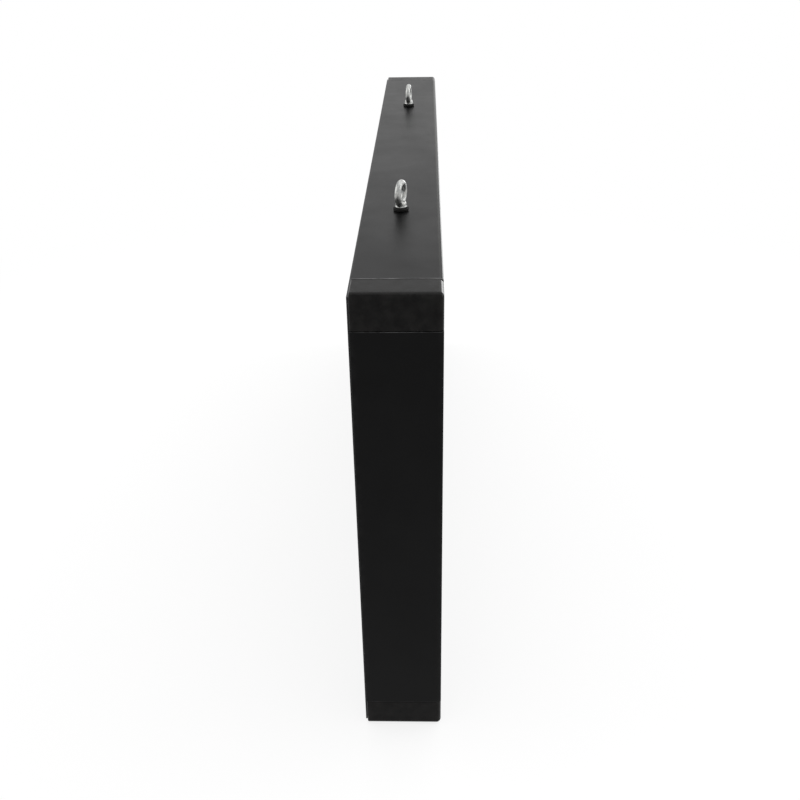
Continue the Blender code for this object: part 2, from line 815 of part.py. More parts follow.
def make_control_card():
    """The card, and the tray with a post under each of its corners."""
    low = card_front()
    high = low + card_thickness
    half = (card_width / 2, card_length / 2)
    card = box_between("control_card", (card_centre() - half[0], low, middle_up - half[1]),
                       (card_centre() + half[0], high, middle_up + half[1]),
                       "green_circuit_board")
    seat = low + joint_overlap
    header_low = low - header_height
    headers = [(x, (seat + header_low) / 2, z) for x, z in card_sockets().values()]
    processor = (card_centre() + card_header_side, (seat + low - chip_height) / 2, middle_up)
    join(card,
         boxes("card_headers", (header_width, seat - header_low, header_length), headers),
         boxes("card_processor", (chip_length, chip_height + joint_overlap, chip_length),
               [processor]))
    cut(card, header_hollows("card", headers, header_low, -1))
    tray = box_between("card_tray", (card_centre() - half[0], back - card_tray_thickness,
                                     middle_up - half[1]),
                       (card_centre() + half[0], back, middle_up + half[1]),
                       "white_plastic")
    post_low = high + seat_gap
    post_high = back - card_tray_thickness + joint_overlap
    posts = [(x, (post_low + post_high) / 2, z) for x, z in card_post_places()]
    join(tray, rods("card_posts", card_post_radius, post_high - post_low, (0, 1, 0), posts,
                    screw_sides))
    cut(tray, screw_bores("card_bores", [(x, back, z) for x, z in card_post_places()],
                          (0, 1, 0), 2 * screw_grip))


# Wiring

def smooth_route(points, spacing):
    """Points along a smooth curve through the route's points, about a spacing apart."""
    route = [Vector(p) for p in points]
    ends = [2 * route[0] - route[1]] + route + [2 * route[-1] - route[-2]]
    result = []
    for i in range(1, len(ends) - 2):
        a, b, c, d = ends[i - 1:i + 3]
        steps = max(1, round((c - b).length / spacing))
        for step in range(steps):
            t = step / steps
            result.append(0.5 * (2 * b + (c - a) * t + (2 * a - 5 * b + 4 * c - d) * t * t
                                 + (3 * b - a - 3 * c + d) * t ** 3))
    return result + [route[-1]]


def path_curve(name, route, radius):
    curve = bpy.data.curves.new(name, "CURVE")
    curve.dimensions = "3D"
    curve.bevel_depth = radius
    curve.bevel_resolution = 2
    curve.use_fill_caps = True
    spline = curve.splines.new("POLY")
    spline.points.add(len(route) - 1)
    for point, co in zip(spline.points, route):
        point.co = (*co, 1)
    return curve


def cable(name, route, radius, finish):
    curve = path_curve(name, route, radius)
    return welded_copy(bpy.data.objects.new(name + "_path", curve), name, finish)


def ribbon(name, start, end):
    """A flat cable between two plugs, its width upright, as a strip along its route."""
    route = []
    for i in range(ribbon_steps + 1):
        t = i / ribbon_steps
        ease = t * t * (3 - 2 * t)
        route.append((start[0] + (end[0] - start[0]) * t,
                      start[1] + (end[1] - start[1]) * ease + ribbon_arch * math.sin(math.pi * t),
                      start[2] + (end[2] - start[2]) * ease))
    section = bpy.data.curves.new(name + "_section", "CURVE")
    section.dimensions = "2D"
    spline = section.splines.new("POLY")
    corners = [(-1, -1), (1, -1), (1, 1), (-1, 1)]
    spline.points.add(len(corners) - 1)
    for point, (across, up) in zip(spline.points, corners):
        point.co = (across * ribbon_thickness / 2, up * ribbon_width / 2, 0, 1)
    spline.use_cyclic_u = True
    guide = bpy.data.objects.new(name + "_section", section)
    cutters.objects.link(guide)
    guide.hide_render = True
    guide.display_type = "WIRE"
    curve = path_curve(name, route, 0)
    curve.twist_mode = "Z_UP"
    curve.bevel_mode = "OBJECT"
    curve.bevel_object = guide
    return welded_copy(bpy.data.objects.new(name + "_path", curve), name, "ribbon_grey")


def ribbon_sockets():
    """Each module has a ribbon header in the upper window at each end."""
    return {(column, row, end): (along + window_centre(index, 1)[0],
                                 up + window_centre(index, 1)[1])
            for column, row, along, up in module_cells()
            for end, index in (("left", 0), ("right", shell_windows_along - 1))}


def power_sockets():
    """Each module has a power header in its lower middle window."""
    middle = shell_windows_along // 2
    return {(column, row): (along + window_centre(middle, 0)[0],
                            up + window_centre(middle, 0)[1])
            for column, row, along, up in module_cells()}


def make_ribbons():
    """Flat cables, each in one piece with the plugs pressed on its ends."""
    sockets = ribbon_sockets()
    side = header_width / 2 - joint_overlap
    plug = (header_width, plug_height, header_length)
    module_plug_y = header_top + seat_gap + plug_height / 2
    card_plug_y = card_front() - header_height - seat_gap - plug_height / 2
    lift = plug_height / 2 - ribbon_exit
    for row in rows:
        left = sockets[("left", row, "right")]
        right = sockets[("right", row, "left")]
        link = ribbon("ribbon_link_" + row, (left[0] + side, module_plug_y + lift, left[1]),
                      (right[0] - side, module_plug_y + lift, right[1]))
        join(link, boxes("link_plugs_" + row, plug, [(x, module_plug_y, z)
                                                     for x, z in (left, right)]))
        card = card_sockets()[row]
        far = sockets[("right", row, "right")]
        lead = ribbon("ribbon_card_" + row, (card[0] + side, card_plug_y - lift, card[1]),
                      (far[0] - side, module_plug_y + lift, far[1]))
        join(lead, boxes("card_plugs_" + row, plug, [(card[0], card_plug_y, card[1]),
                                                     (far[0], module_plug_y, far[1])]))


def make_power_leads():
    """A sheathed lead from the supply's terminals to each module, with its plug."""
    sockets = power_sockets()
    plug_low = power_header_top + seat_gap
    plug_back = plug_low + power_plug_height
    start_x = -supply_length / 2 + supply_board_margin - seat_gap
    start_y = supply_seat() - terminal_height / 2
    around = supply_width / 2 + 5 * lead_radius
    clear = 4 * lead_radius
    routes = {}
    for row, side in (("top", 1), ("bottom", -1)):
        near_x, near_z = sockets[("left", row)]
        far_x, far_z = sockets[("right", row)]
        exit_near = middle_up + side * 3 * lead_radius
        exit_far = middle_up + side * 7 * lead_radius
        pass_z = middle_up + side * around
        routes[(row, "left")] = [
            (start_x, start_y, exit_near), (start_x - clear / 2, start_y, exit_near),
            (start_x - 3 * clear, start_y, exit_near),
            (near_x + clear, (start_y + plug_back) / 2, (exit_near + near_z) / 2),
            (near_x, plug_back + 2 * clear, near_z - side * lead_radius),
            (near_x, plug_back + clear / 2, near_z), (near_x, plug_back - joint_overlap, near_z)]
        routes[(row, "right")] = [
            (start_x, start_y, exit_far), (start_x - clear / 2, start_y, exit_far),
            (start_x - 1.5 * clear, start_y / 2, (exit_far + pass_z) / 2),
            (start_x, start_y / 2, pass_z), (0, start_y / 2, pass_z + side * clear / 2),
            (far_x - 4 * clear, start_y / 2, (pass_z + far_z) / 2),
            (far_x, plug_back + 2 * clear, far_z + lead_radius),
            (far_x, plug_back + clear / 2, far_z), (far_x, plug_back - joint_overlap, far_z)]
    for (row, column), points in routes.items():
        name = "power_lead_" + row + "_" + column
        lead = cable(name, smooth_route(points, lead_point_spacing), lead_radius,
                     "sheathed_lead")
        x, _, z = points[-1]
        join(lead, boxes(name + "_plug", (power_header_width, power_plug_height,
                                          power_header_length),
                         [(x, (plug_low + plug_back) / 2, z)]))


def make_aerial_lead():
    along = aerial_along()
    inner_end = back - aerial_flange_height - aerial_thread_length - seat_gap
    card_edge = card_centre() + card_width / 2 - 2 * card_post_inset
    card_low = middle_up - card_length / 2 + 2 * card_post_inset
    card_face = card_front() - seat_gap
    slack = card_post_inset
    route = [(along, inner_end, aerial_up), (along, inner_end - slack, aerial_up),
             ((3 * along + card_edge) / 4, inner_end - 2 * slack, aerial_up + slack),
             ((along + card_edge) / 2, inner_end - 2 * slack, (aerial_up + card_low) / 2),
             (card_edge + slack, card_face - 2 * slack, card_low - slack / 2),
             (card_edge, card_face - slack, card_low), (card_edge, card_face, card_low)]
    cable("aerial_lead", smooth_route(route, aerial_lead_point_spacing), aerial_lead_radius,
          "black_rubber")


# Back sheet

def aerial_along():
    return length / 2 - aerial_from_end


def vent_places():
    groups = [(-vent_from_middle, height - vent_from_edge), (vent_from_middle, height
              - vent_from_edge), (-vent_from_middle, vent_from_edge)]
    return [(x + (i - (vent_count - 1) / 2) * vent_pitch, z)
            for x, z in groups for i in range(vent_count)]


def make_back_sheet():
    low = sheet_inset
    sheet = box_between("back_sheet", (low - length / 2, sheet_front, low),
                        (length / 2 - low, sheet_back, height - low), "black_painted_steel")
    middle = (sheet_front + sheet_back) / 2
    span = 4 * sheet_thickness
    inner = supply_screw_places() + card_post_places()
    round_end = vent_width / 2
    straight = vent_height / 2 - round_end
    slot = arc((0, straight), round_end, 0, 180, 4) + arc((0, -straight), round_end, 180, 360, 4)
    first = vent_places()[0]
    vents = solid_outline("vents", [[(x + vx - first[0], z + vz - first[1]) for x, z in slot]
                                    for vx, vz in vent_places()],
                          span, None, (first[0], middle, first[1]), (math.radians(90), 0, 0))
    cut(sheet, vents,
        rods("gland_hole", gland_thread_radius + seat_gap, span, (0, 1, 0),
             [(gland_from_middle, middle, gland_up)], 20),
        rods("aerial_hole", aerial_thread_radius + seat_gap, span, (0, 1, 0),
             [(aerial_along(), middle, aerial_up)], 16))
    join_flush_screws(sheet, sheet_screw_places() + inner)


def join_flush_screws(sheet, places):
    """Countersunk screws through the sheet: a shallow seat outside, the shank inside."""
    cut(sheet, rods("sheet_screw_seats", screw_head_radius + screw_clearance,
                    2 * countersink_depth, (0, 1, 0), [(x, sheet_back, z) for x, z in places],
                    screw_sides))
    shank_high = sheet_front + joint_overlap
    join(sheet, rods("sheet_screw_shanks", screw_radius, screw_grip, (0, 1, 0),
                     [(x, shank_high - screw_grip / 2, z) for x, z in places], screw_sides))


# Cable gland

def make_gland():
    centre = (gland_from_middle, 0, gland_up)
    hex_low = sheet_back + seat_gap
    hex_high = hex_low + gland_hex_height
    inner_end = sheet_front - gland_inner_length
    outer_end = hex_high + gland_outer_thread
    thread_span = outer_end - inner_end
    body = rods("gland_body", hexagon(gland_flats), gland_hex_height, (0, 1, 0),
                [(0, (hex_low + hex_high) / 2, 0)], 6, "black_moulded_plastic", centre)
    join(body, rods("gland_thread", gland_thread_radius, thread_span, (0, 1, 0),
                    [(0, (inner_end + outer_end) / 2, 0)], 20, None, centre))
    cut(body, rods("gland_body_bore", gland_bore + 2 * seat_gap, thread_span + 2 * overrun,
                   (0, 1, 0), [(0, (inner_end + outer_end) / 2, 0)], 16, None, centre))
    lock_high = sheet_front - seat_gap
    lock = rods("gland_lock_nut", hexagon(gland_flats), gland_lock_height, (0, 1, 0),
                [(0, lock_high - gland_lock_height / 2, 0)], 6, "black_moulded_plastic", centre)
    cut(lock, rods("gland_lock_bore", gland_thread_radius + seat_gap,
                   gland_lock_height + 2 * overrun, (0, 1, 0),
                   [(0, lock_high - gland_lock_height / 2, 0)], 20, None, centre))
    dome_low = hex_high + seat_gap
    dome_high = dome_low + gland_dome_height
    seal_low = outer_end + seat_gap
    seal_high = seal_low + gland_seal_height
    outer = gland_flats / 2
    bore = gland_thread_radius + seat_gap
    profile = [(gland_dome_mouth, dome_high), (outer - gland_bore / 2, dome_high),
               (outer, dome_high - gland_bore), (outer, dome_low), (bore, dome_low),
               (bore, seal_high + seat_gap), (gland_dome_mouth, seal_high + seat_gap),
               (gland_dome_mouth, dome_high)]
    turned("gland_dome_nut", profile, 20, "black_moulded_plastic", centre, (0, 1, 0))
    seal = rods("gland_seal", gland_thread_radius, gland_seal_height, (0, 1, 0),
                [(0, (seal_low + seal_high) / 2, 0)], 20, "black_rubber", centre)
    cut(seal, rods("gland_seal_bore", gland_bore, gland_seal_height + 2 * overrun, (0, 1, 0),
                   [(0, (seal_low + seal_high) / 2, 0)], 16, None, centre))


# Aerial

def make_aerial():
    along = aerial_along()
    flange_high = back
    flange_low = flange_high - aerial_flange_height
    thread_high = sheet_back + seat_gap + aerial_thread_length
    profile = [(0, thread_high), (aerial_thread_radius, thread_high),
               (aerial_thread_radius, flange_high), (aerial_flange_radius, flange_high),
               (aerial_flange_radius, flange_low), (aerial_thread_radius, flange_low),
               (aerial_thread_radius, flange_low - aerial_thread_length),
               (0, flange_low - aerial_thread_length)]
    turned("aerial_connector", profile, 12, "gold_plate", (along, 0, aerial_up), (0, 1, 0))
    barrel_low = sheet_back + aerial_running_gap
    barrel_high = barrel_low + aerial_barrel_length
    pivot = barrel_high + aerial_pivot_out
    centre = (along, 0, aerial_up)
    base = rods("aerial_base", aerial_barrel_radius, aerial_barrel_length, (0, 1, 0),
                [(0, (barrel_low + barrel_high) / 2, 0)], 20, "black_moulded_plastic", centre)
    ear_across = aerial_tongue / 2 + aerial_running_gap + aerial_ear_thickness / 2
    ear_low = barrel_high - overrun
    ears = boxes("aerial_ears", (aerial_ear_thickness, pivot - ear_low, 2 * aerial_ear_radius),
                 [(side * ear_across, (pivot + ear_low) / 2, 0) for side in (-1, 1)],
                 None, centre)
    rounds = rods("aerial_ear_rounds", aerial_ear_radius, aerial_ear_thickness, (1, 0, 0),
                  [(side * ear_across, pivot, 0) for side in (-1, 1)], 20, None, centre)
    pin = rods("aerial_pin", aerial_pin_radius, 2 * ear_across, (1, 0, 0), [(0, pivot, 0)], 10,
               None, centre)
    bore_span = thread_high + aerial_running_gap - barrel_low
    bore = rods("aerial_base_bore", aerial_thread_radius + aerial_running_gap,
                bore_span + overrun, (0, 1, 0),
                [(0, barrel_low + (bore_span - overrun) / 2, 0)], 20, None, centre)
    join(base, ears, rounds, pin)
    cut(base, bore)
    make_whip((along, pivot, aerial_up))


def make_whip(pivot):
    """The whip, its origin on the elbow's axis, standing up beside the sheet at rest."""
    top = aerial_whip_start + aerial_whip_length
    tip = [(0, top)] + arc((0, top - aerial_tip_radius), aerial_tip_radius, 60, 0, 3)
    profile = tip + [(aerial_whip_radius, aerial_whip_start), (0, aerial_whip_start)]
    whip = turned("aerial_whip", profile, 16, "black_rubber", pivot)
    eye = rods("aerial_eye", aerial_ear_radius, aerial_tongue, (1, 0, 0), [(0, 0, 0)], 20, None,
               pivot)
    neck = boxes("aerial_neck", (aerial_tongue - 2 * seat_gap, aerial_ear_radius,
                                 aerial_whip_start + overrun / 2),
                 [(0, 0, (aerial_whip_start + overrun / 2) / 2)], None, pivot)
    join(whip, eye, neck)
    cut(whip, rods("aerial_eye_bore", aerial_pin_radius + aerial_running_gap,
                   aerial_tongue + 2 * overrun, (1, 0, 0), [(0, 0, 0)], 12, None, pivot))


clear_scene()
parts = new_collection("led_scrolling_sign")
cutters = new_collection("cutters")
make_profiles()
make_corner_blocks()
make_hanging_hardware()
make_modules()
make_rails()
make_power_supply()
make_control_card()
make_ribbons()
make_power_leads()
make_aerial_lead()
make_back_sheet()
make_gland()
make_aerial()
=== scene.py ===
# Looks of the LED scrolling sign: finishes for every piece, and detailed shapes for what shows
import math
import bmesh
import bpy
from mathutils import Matrix, Vector


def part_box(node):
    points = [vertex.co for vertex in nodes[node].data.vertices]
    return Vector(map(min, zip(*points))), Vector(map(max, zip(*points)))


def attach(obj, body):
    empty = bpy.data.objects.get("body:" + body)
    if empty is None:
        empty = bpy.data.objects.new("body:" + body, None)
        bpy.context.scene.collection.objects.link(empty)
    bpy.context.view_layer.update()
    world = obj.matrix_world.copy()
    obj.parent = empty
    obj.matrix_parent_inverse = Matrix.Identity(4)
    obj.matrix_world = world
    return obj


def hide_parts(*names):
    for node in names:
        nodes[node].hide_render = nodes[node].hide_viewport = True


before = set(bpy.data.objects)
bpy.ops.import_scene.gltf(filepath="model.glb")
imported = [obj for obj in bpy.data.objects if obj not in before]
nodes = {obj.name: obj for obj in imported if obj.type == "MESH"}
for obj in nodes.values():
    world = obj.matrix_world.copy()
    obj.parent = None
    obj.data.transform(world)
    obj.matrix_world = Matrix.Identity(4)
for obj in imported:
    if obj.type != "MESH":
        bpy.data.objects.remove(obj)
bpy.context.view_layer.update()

# Outer faces of the cabinet
low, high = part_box("top_profile")
frontFace, backFace, top = low.y, high.y, high.z
bezel = top - low.z
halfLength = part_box("right_profile")[1].x
near = 0.00005  # what counts as the same place
square = 0.9  # the least part of a direction along an axis that it counts as following

# Photo camera, fitted to the outline of the cabinet
photoCamera = {
    "place": (-0.855625, -0.018183, 0.58754),
    "yaw": 0.033263,
    "pitch": 0.51673,
    "roll": -0.017925,
    "lens": 41.473581,
    "sensor": 36,
    "clipStart": 0.01,
}

studio = {
    "floorSize": 40,
    "floorColour": (0.95, 0.95, 0.95),
    "shadowShare": 0.20,
    "shadowReach": (0.40, 1.0),
    "ambient": 0.80,
    "lamps": {
        "keyLamp": {"place": (0.5, -0.4, 2.2), "aim": (0, 0, 0.3), "size": 2.4, "power": 16},
        "frontFill": {"place": (0.3, -2.2, 1.3), "aim": (0, 0, 0.2), "size": 1.8, "power": 16},
        "backFill": {"place": (0.3, 2.2, 1.3), "aim": (0, 0, 0.2), "size": 1.8, "power": 14},
        "farLamp": {"place": (2.0, 0, 1.25), "aim": (0.2, 0, 0.37), "size": 1.0, "power": 1.6},
        "sideLamp": {"place": (1.9, -1.0, 0.37), "aim": (-0.1, 0, 0.37), "size": 0.9,
                     "power": 6.5},
    },
}

rows = ("bottom", "top")
columns = ("left", "right")


# Handling of pieces

def deselectAll():
    if bpy.context.mode != "OBJECT":
        bpy.ops.object.mode_set(mode="OBJECT")
    bpy.ops.object.select_all(action="DESELECT")


def pickUp(*pieces):
    deselectAll()
    for piece in pieces:
        piece.select_set(True)
    bpy.context.view_layer.objects.active = pieces[0]


def bakePlace(piece):  # puts an object's place into its mesh
    pickUp(piece)
    bpy.ops.object.transform_apply(location=True, rotation=True, scale=True)


def nameNew(name):
    piece = bpy.context.object
    piece.name = name
    piece.data.name = name
    bakePlace(piece)
    return piece


def addBox(name, low, high):
    deselectAll()
    size = [b - a for a, b in zip(low, high)]
    centre = [(a + b) / 2 for a, b in zip(low, high)]
    bpy.ops.mesh.primitive_cube_add(size=1, location=centre, scale=size)
    return nameNew(name)


def addRod(name, radius, low, high, across, sides=16):  # along Y, from low to high
    deselectAll()
    bpy.ops.mesh.primitive_cylinder_add(vertices=sides, radius=radius, depth=high - low,
                                        location=(across[0], (low + high) / 2, across[1]),
                                        rotation=(math.radians(90), 0, 0))
    return nameNew(name)


def addPin(name, radius, length, place, sides):  # along X, about its middle
    deselectAll()
    bpy.ops.mesh.primitive_cylinder_add(vertices=sides, radius=radius, depth=length,
                                        location=place, rotation=(0, math.radians(90), 0))
    return nameNew(name)


def openEdit(piece, kind="FACE"):
    pickUp(piece)
    bpy.ops.object.mode_set(mode="EDIT")
    bpy.ops.mesh.select_mode(type=kind)
    bpy.ops.mesh.select_all(action="DESELECT")


def closeEdit():
    bpy.ops.mesh.select_all(action="SELECT")
    bpy.ops.mesh.normals_make_consistent(inside=False)
    bpy.ops.object.mode_set(mode="OBJECT")


def selectFaces(piece, wanted):
    bpy.ops.mesh.select_mode(type="FACE")
    bpy.ops.mesh.select_all(action="DESELECT")
    shape = bmesh.from_edit_mesh(piece.data)
    for face in shape.faces:
        face.select_set(wanted(face.calc_center_median(), face.normal))
    bmesh.update_edit_mesh(piece.data)


def selectEdges(piece, wanted):
    bpy.ops.mesh.select_mode(type="EDGE")
    bpy.ops.mesh.select_all(action="DESELECT")
    shape = bmesh.from_edit_mesh(piece.data)
    for edge in shape.edges:
        a, b = (v.co for v in edge.verts)
        edge.select_set(wanted((a + b) / 2, (b - a).normalized()))
    shape.select_flush_mode()
    bmesh.update_edit_mesh(piece.data)


def paintFaces(piece, wanted):  # gives the second material to faces, and stays in edit mode
    openEdit(piece)
    selectFaces(piece, wanted)
    piece.active_material_index = 1
    bpy.ops.object.material_slot_assign()


def pushOut(value):  # extrudes what is selected
    bpy.ops.mesh.extrude_region()
    bpy.ops.transform.translate(value=value)


def roundEdges(offset, segments):
    bpy.ops.mesh.bevel(offset=offset, offset_type="OFFSET", segments=segments, profile=0.5,
                       affect="EDGES")


def roundSome(piece, wanted, offset, segments):
    openEdit(piece, "EDGE")
    selectEdges(piece, wanted)
    roundEdges(offset, segments)
    closeEdit()


def cutAcross(piece, place, normal):
    bpy.ops.mesh.select_all(action="SELECT")
    bpy.ops.mesh.bisect(plane_co=place, plane_no=normal)


def applyModifier(piece, kind, **settings):
    pickUp(piece)
    modifier = piece.modifiers.new(kind.lower(), kind)
    for key, value in settings.items():
        setattr(modifier, key, value)
    bpy.ops.object.modifier_apply(modifier=modifier.name)


def combine(piece, tool, operation):
    applyModifier(piece, "BOOLEAN", operation=operation, object=tool, solver="EXACT")
    bpy.data.objects.remove(tool, do_unlink=True)


def tile(piece, across, up, pitch, rise, **welding):  # copies along X, then along Z
    for count, step in ((across, (pitch, 0, 0)), (up, (0, 0, rise))):
        if count > 1:
            applyModifier(piece, "ARRAY", count=count, use_relative_offset=False,
                          use_constant_offset=True, constant_offset_displace=step, **welding)


def joinPieces(name, pieces):
    pickUp(*pieces)
    if len(pieces) > 1:
        bpy.ops.object.join()
    piece = bpy.context.object
    piece.name = name
    return piece


def copyTo(piece, name, move):
    twin = piece.copy()
    twin.data = piece.data.copy()
    twin.name = name
    bpy.context.scene.collection.objects.link(twin)
    twin.location = Vector(move)
    bakePlace(twin)
    return twin


def smooth(piece, degrees=35, flatFaces=False):
    pickUp(piece)
    bpy.ops.object.shade_smooth_by_angle(angle=math.radians(degrees))
    if flatFaces:  # large faces keep their own normal beside rounded edges
        applyModifier(piece, "WEIGHTED_NORMAL", keep_sharp=True, weight=100)


def soften(piece, width, segments=2, degrees=30):
    applyModifier(piece, "BEVEL", width=width, segments=segments, limit_method="ANGLE",
                  angle_limit=math.radians(degrees), harden_normals=False)


def arcRings(inner, outer, low, high, steps, numbers):  # some steps of a quarter turn
    angles = [math.radians(90 * i / steps) for i in numbers]
    return [(inner + (outer - inner) * math.cos(angle), low + (high - low) * math.sin(angle))
            for angle in angles]


upright = (0, 0, 0)
backward = (math.radians(-90), 0, 0)  # lays a turned piece along Y


def turnPiece(name, rings, sides=32, bored=False, place=(0, 0, 0), tilt=upright):
    # rings of radius and height: up the outside, and down the bore where there is one
    deselectAll()
    radius, up = rings[0]
    bpy.ops.mesh.primitive_circle_add(vertices=sides, radius=radius, location=(0, 0, up),
                                      fill_type="NOTHING" if bored else "NGON")
    piece = nameNew(name)
    openEdit(piece, "EDGE" if bored else "FACE")
    bpy.ops.mesh.select_all(action="SELECT")
    for nextRadius, nextUp in rings[1:] + (rings[:1] if bored else []):
        pushOut((0, 0, nextUp - up))
        share = nextRadius / radius
        bpy.ops.transform.resize(value=(share, share, 1), center_override=(0, 0, nextUp))
        radius, up = nextRadius, nextUp
    bpy.ops.mesh.select_all(action="SELECT")
    bpy.ops.mesh.remove_doubles(threshold=0.000001)
    closeEdit()
    piece.location = place
    piece.rotation_euler = tilt
    bakePlace(piece)
    return piece


def dress(piece, finish, body, slot, *replaced):
    piece.data.materials.clear()
    piece.data.materials.append(paint[finish])
    hang(piece, body, slot, *replaced)


def hang(piece, body, slot, *replaced):
    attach(piece, body)
    if replaced:
        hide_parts(*replaced)


# Finishes

def addNode(tree, kind, inputs=None, **values):
    node = tree.nodes.new("ShaderNode" + kind)
    for key, value in values.items():
        setattr(node, key, value)
    for key, value in (inputs or {}).items():
        node.inputs[key].default_value = value
    return node


def linkAll(tree, *links):
    for source, output, target, socket in links:
        tree.links.new(source.outputs[output], target.inputs[socket])


def largestOf(tree, *values):  # each is a node and the name of its output
    node, output = values[0]
    for other, otherOutput in values[1:]:
        larger = addNode(tree, "Math", operation="MAXIMUM")
        linkAll(tree, (node, output, larger, 0), (other, otherOutput, larger, 1))
        node, output = larger, "Value"
    return node


def makeGroup(name, inputs, outputs):
    group = bpy.data.node_groups.new(name, "ShaderNodeTree")
    for way, sockets in (("INPUT", inputs), ("OUTPUT", outputs)):
        for label, kind in sockets.items():
            group.interface.new_socket(label, in_out=way, socket_type="NodeSocket" + kind)
    return group, group.nodes.new("NodeGroupInput"), group.nodes.new("NodeGroupOutput")


surfaceGrain = {
    "blotchDetail": 5, "blotchRoughness": 0.62, "colourRange": (0.36, 0.66),
    "glossRange": (0.3, 0.7), "grainDetail": 3, "height": 0.001,
}


def makeGrainGroup():  # blotches of two colours, uneven gloss, and a fine grain as height
    group, inside, outside = makeGroup("surfaceGrain", {
        "First Colour": "Color", "Second Colour": "Color", "Blotch Scale": "Float",
        "Grain Scale": "Float", "Low Roughness": "Float", "High Roughness": "Float"},
        {"Colour": "Color", "Roughness": "Float", "Height": "Float"})
    v = surfaceGrain
    place = addNode(group, "TexCoord")
    blotch = addNode(group, "TexNoise", {"Detail": v["blotchDetail"],
                                         "Roughness": v["blotchRoughness"]})
    spread = addNode(group, "MapRange", dict(zip(("From Min", "From Max"), v["colourRange"])))
    mix = addNode(group, "Mix", data_type="RGBA")
    gloss = addNode(group, "MapRange", dict(zip(("From Min", "From Max"), v["glossRange"])))
    grain = addNode(group, "TexNoise", {"Detail": v["grainDetail"]})
    linkAll(group,
            (place, "Object", blotch, "Vector"), (place, "Object", grain, "Vector"),
            (inside, "Blotch Scale", blotch, "Scale"), (inside, "Grain Scale", grain, "Scale"),
            (blotch, "Fac", spread, "Value"), (blotch, "Fac", gloss, "Value"),
            (spread, "Result", mix, "Factor"), (inside, "First Colour", mix, "A"),
            (inside, "Second Colour", mix, "B"), (inside, "Low Roughness", gloss, "To Min"),
            (inside, "High Roughness", gloss, "To Max"), (mix, "Result", outside, "Colour"),
            (gloss, "Result", outside, "Roughness"), (grain, "Fac", outside, "Height"))
    return group


edgeWear = {
    "width": 0.004, "patchScale": 140, "patchDetail": 4, "patchRange": (0.42, 0.62),
    "flatRange": (0.95, 0.998),  # largest part of a normal, from a rounding to a flat face
}


def makeWearGroup():  # rubbed outer edges of the cabinet, broken up by a noise
    group, inside, outside = makeGroup("edgeWear", {
        "Colour": "Color", "Worn Colour": "Color", "Amount": "Float", "Middle": "Vector",
        "Half Size": "Vector", "Width": "Float"}, {"Colour": "Color", "Rounded": "Float"})
    v = edgeWear
    place = addNode(group, "TexCoord")
    away = addNode(group, "VectorMath", operation="SUBTRACT")
    mirrored = addNode(group, "VectorMath", operation="ABSOLUTE")
    depth = addNode(group, "VectorMath", operation="SUBTRACT")
    apart = addNode(group, "SeparateXYZ")
    linkAll(group,
            (place, "Object", away, 0), (inside, "Middle", away, 1),
            (away, "Vector", mirrored, 0), (inside, "Half Size", depth, 0),
            (mirrored, "Vector", depth, 1), (depth, "Vector", apart, "Vector"))
    nearFace = {}
    for axis in "XYZ":
        nearFace[axis] = addNode(group, "MapRange", {"To Min": 1, "To Max": 0})
        linkAll(group, (apart, axis, nearFace[axis], "Value"),
                (inside, "Width", nearFace[axis], "From Max"))
    edges = []
    for first, second in ("XY", "YZ", "ZX"):
        edges.append(addNode(group, "Math", operation="MULTIPLY"))
        linkAll(group, (nearFace[first], "Result", edges[-1], 0),
                (nearFace[second], "Result", edges[-1], 1))
    edge = largestOf(group, *[(pair, "Value") for pair in edges])
    patch = addNode(group, "TexNoise", {"Scale": v["patchScale"], "Detail": v["patchDetail"]})
    broken = addNode(group, "MapRange", dict(zip(("From Min", "From Max"), v["patchRange"])))
    worn = addNode(group, "Math", operation="MULTIPLY")
    share = addNode(group, "Math", operation="MULTIPLY")
    mix = addNode(group, "Mix", data_type="RGBA")
    facing = addNode(group, "VectorMath", operation="ABSOLUTE")
    parts = addNode(group, "SeparateXYZ")
    linkAll(group,
            (place, "Object", patch, "Vector"), (patch, "Fac", broken, "Value"),
            (edge, "Value", worn, 0), (broken, "Result", worn, 1), (worn, "Value", share, 0),
            (inside, "Amount", share, 1), (share, "Value", mix, "Factor"),
            (inside, "Colour", mix, "A"), (inside, "Worn Colour", mix, "B"),
            (mix, "Result", outside, "Colour"), (place, "Normal", facing, 0),
            (facing, "Vector", parts, "Vector"))
    largest = largestOf(group, *[(parts, axis) for axis in "XYZ"])
    rounded = addNode(group, "MapRange", {"From Min": v["flatRange"][0],
                                          "From Max": v["flatRange"][1],
                                          "To Min": 1, "To Max": 0})
    linkAll(group, (largest, "Value", rounded, "Value"), (rounded, "Result", outside, "Rounded"))
    return group


grainGroup = makeGrainGroup()
wearGroup = makeWearGroup()

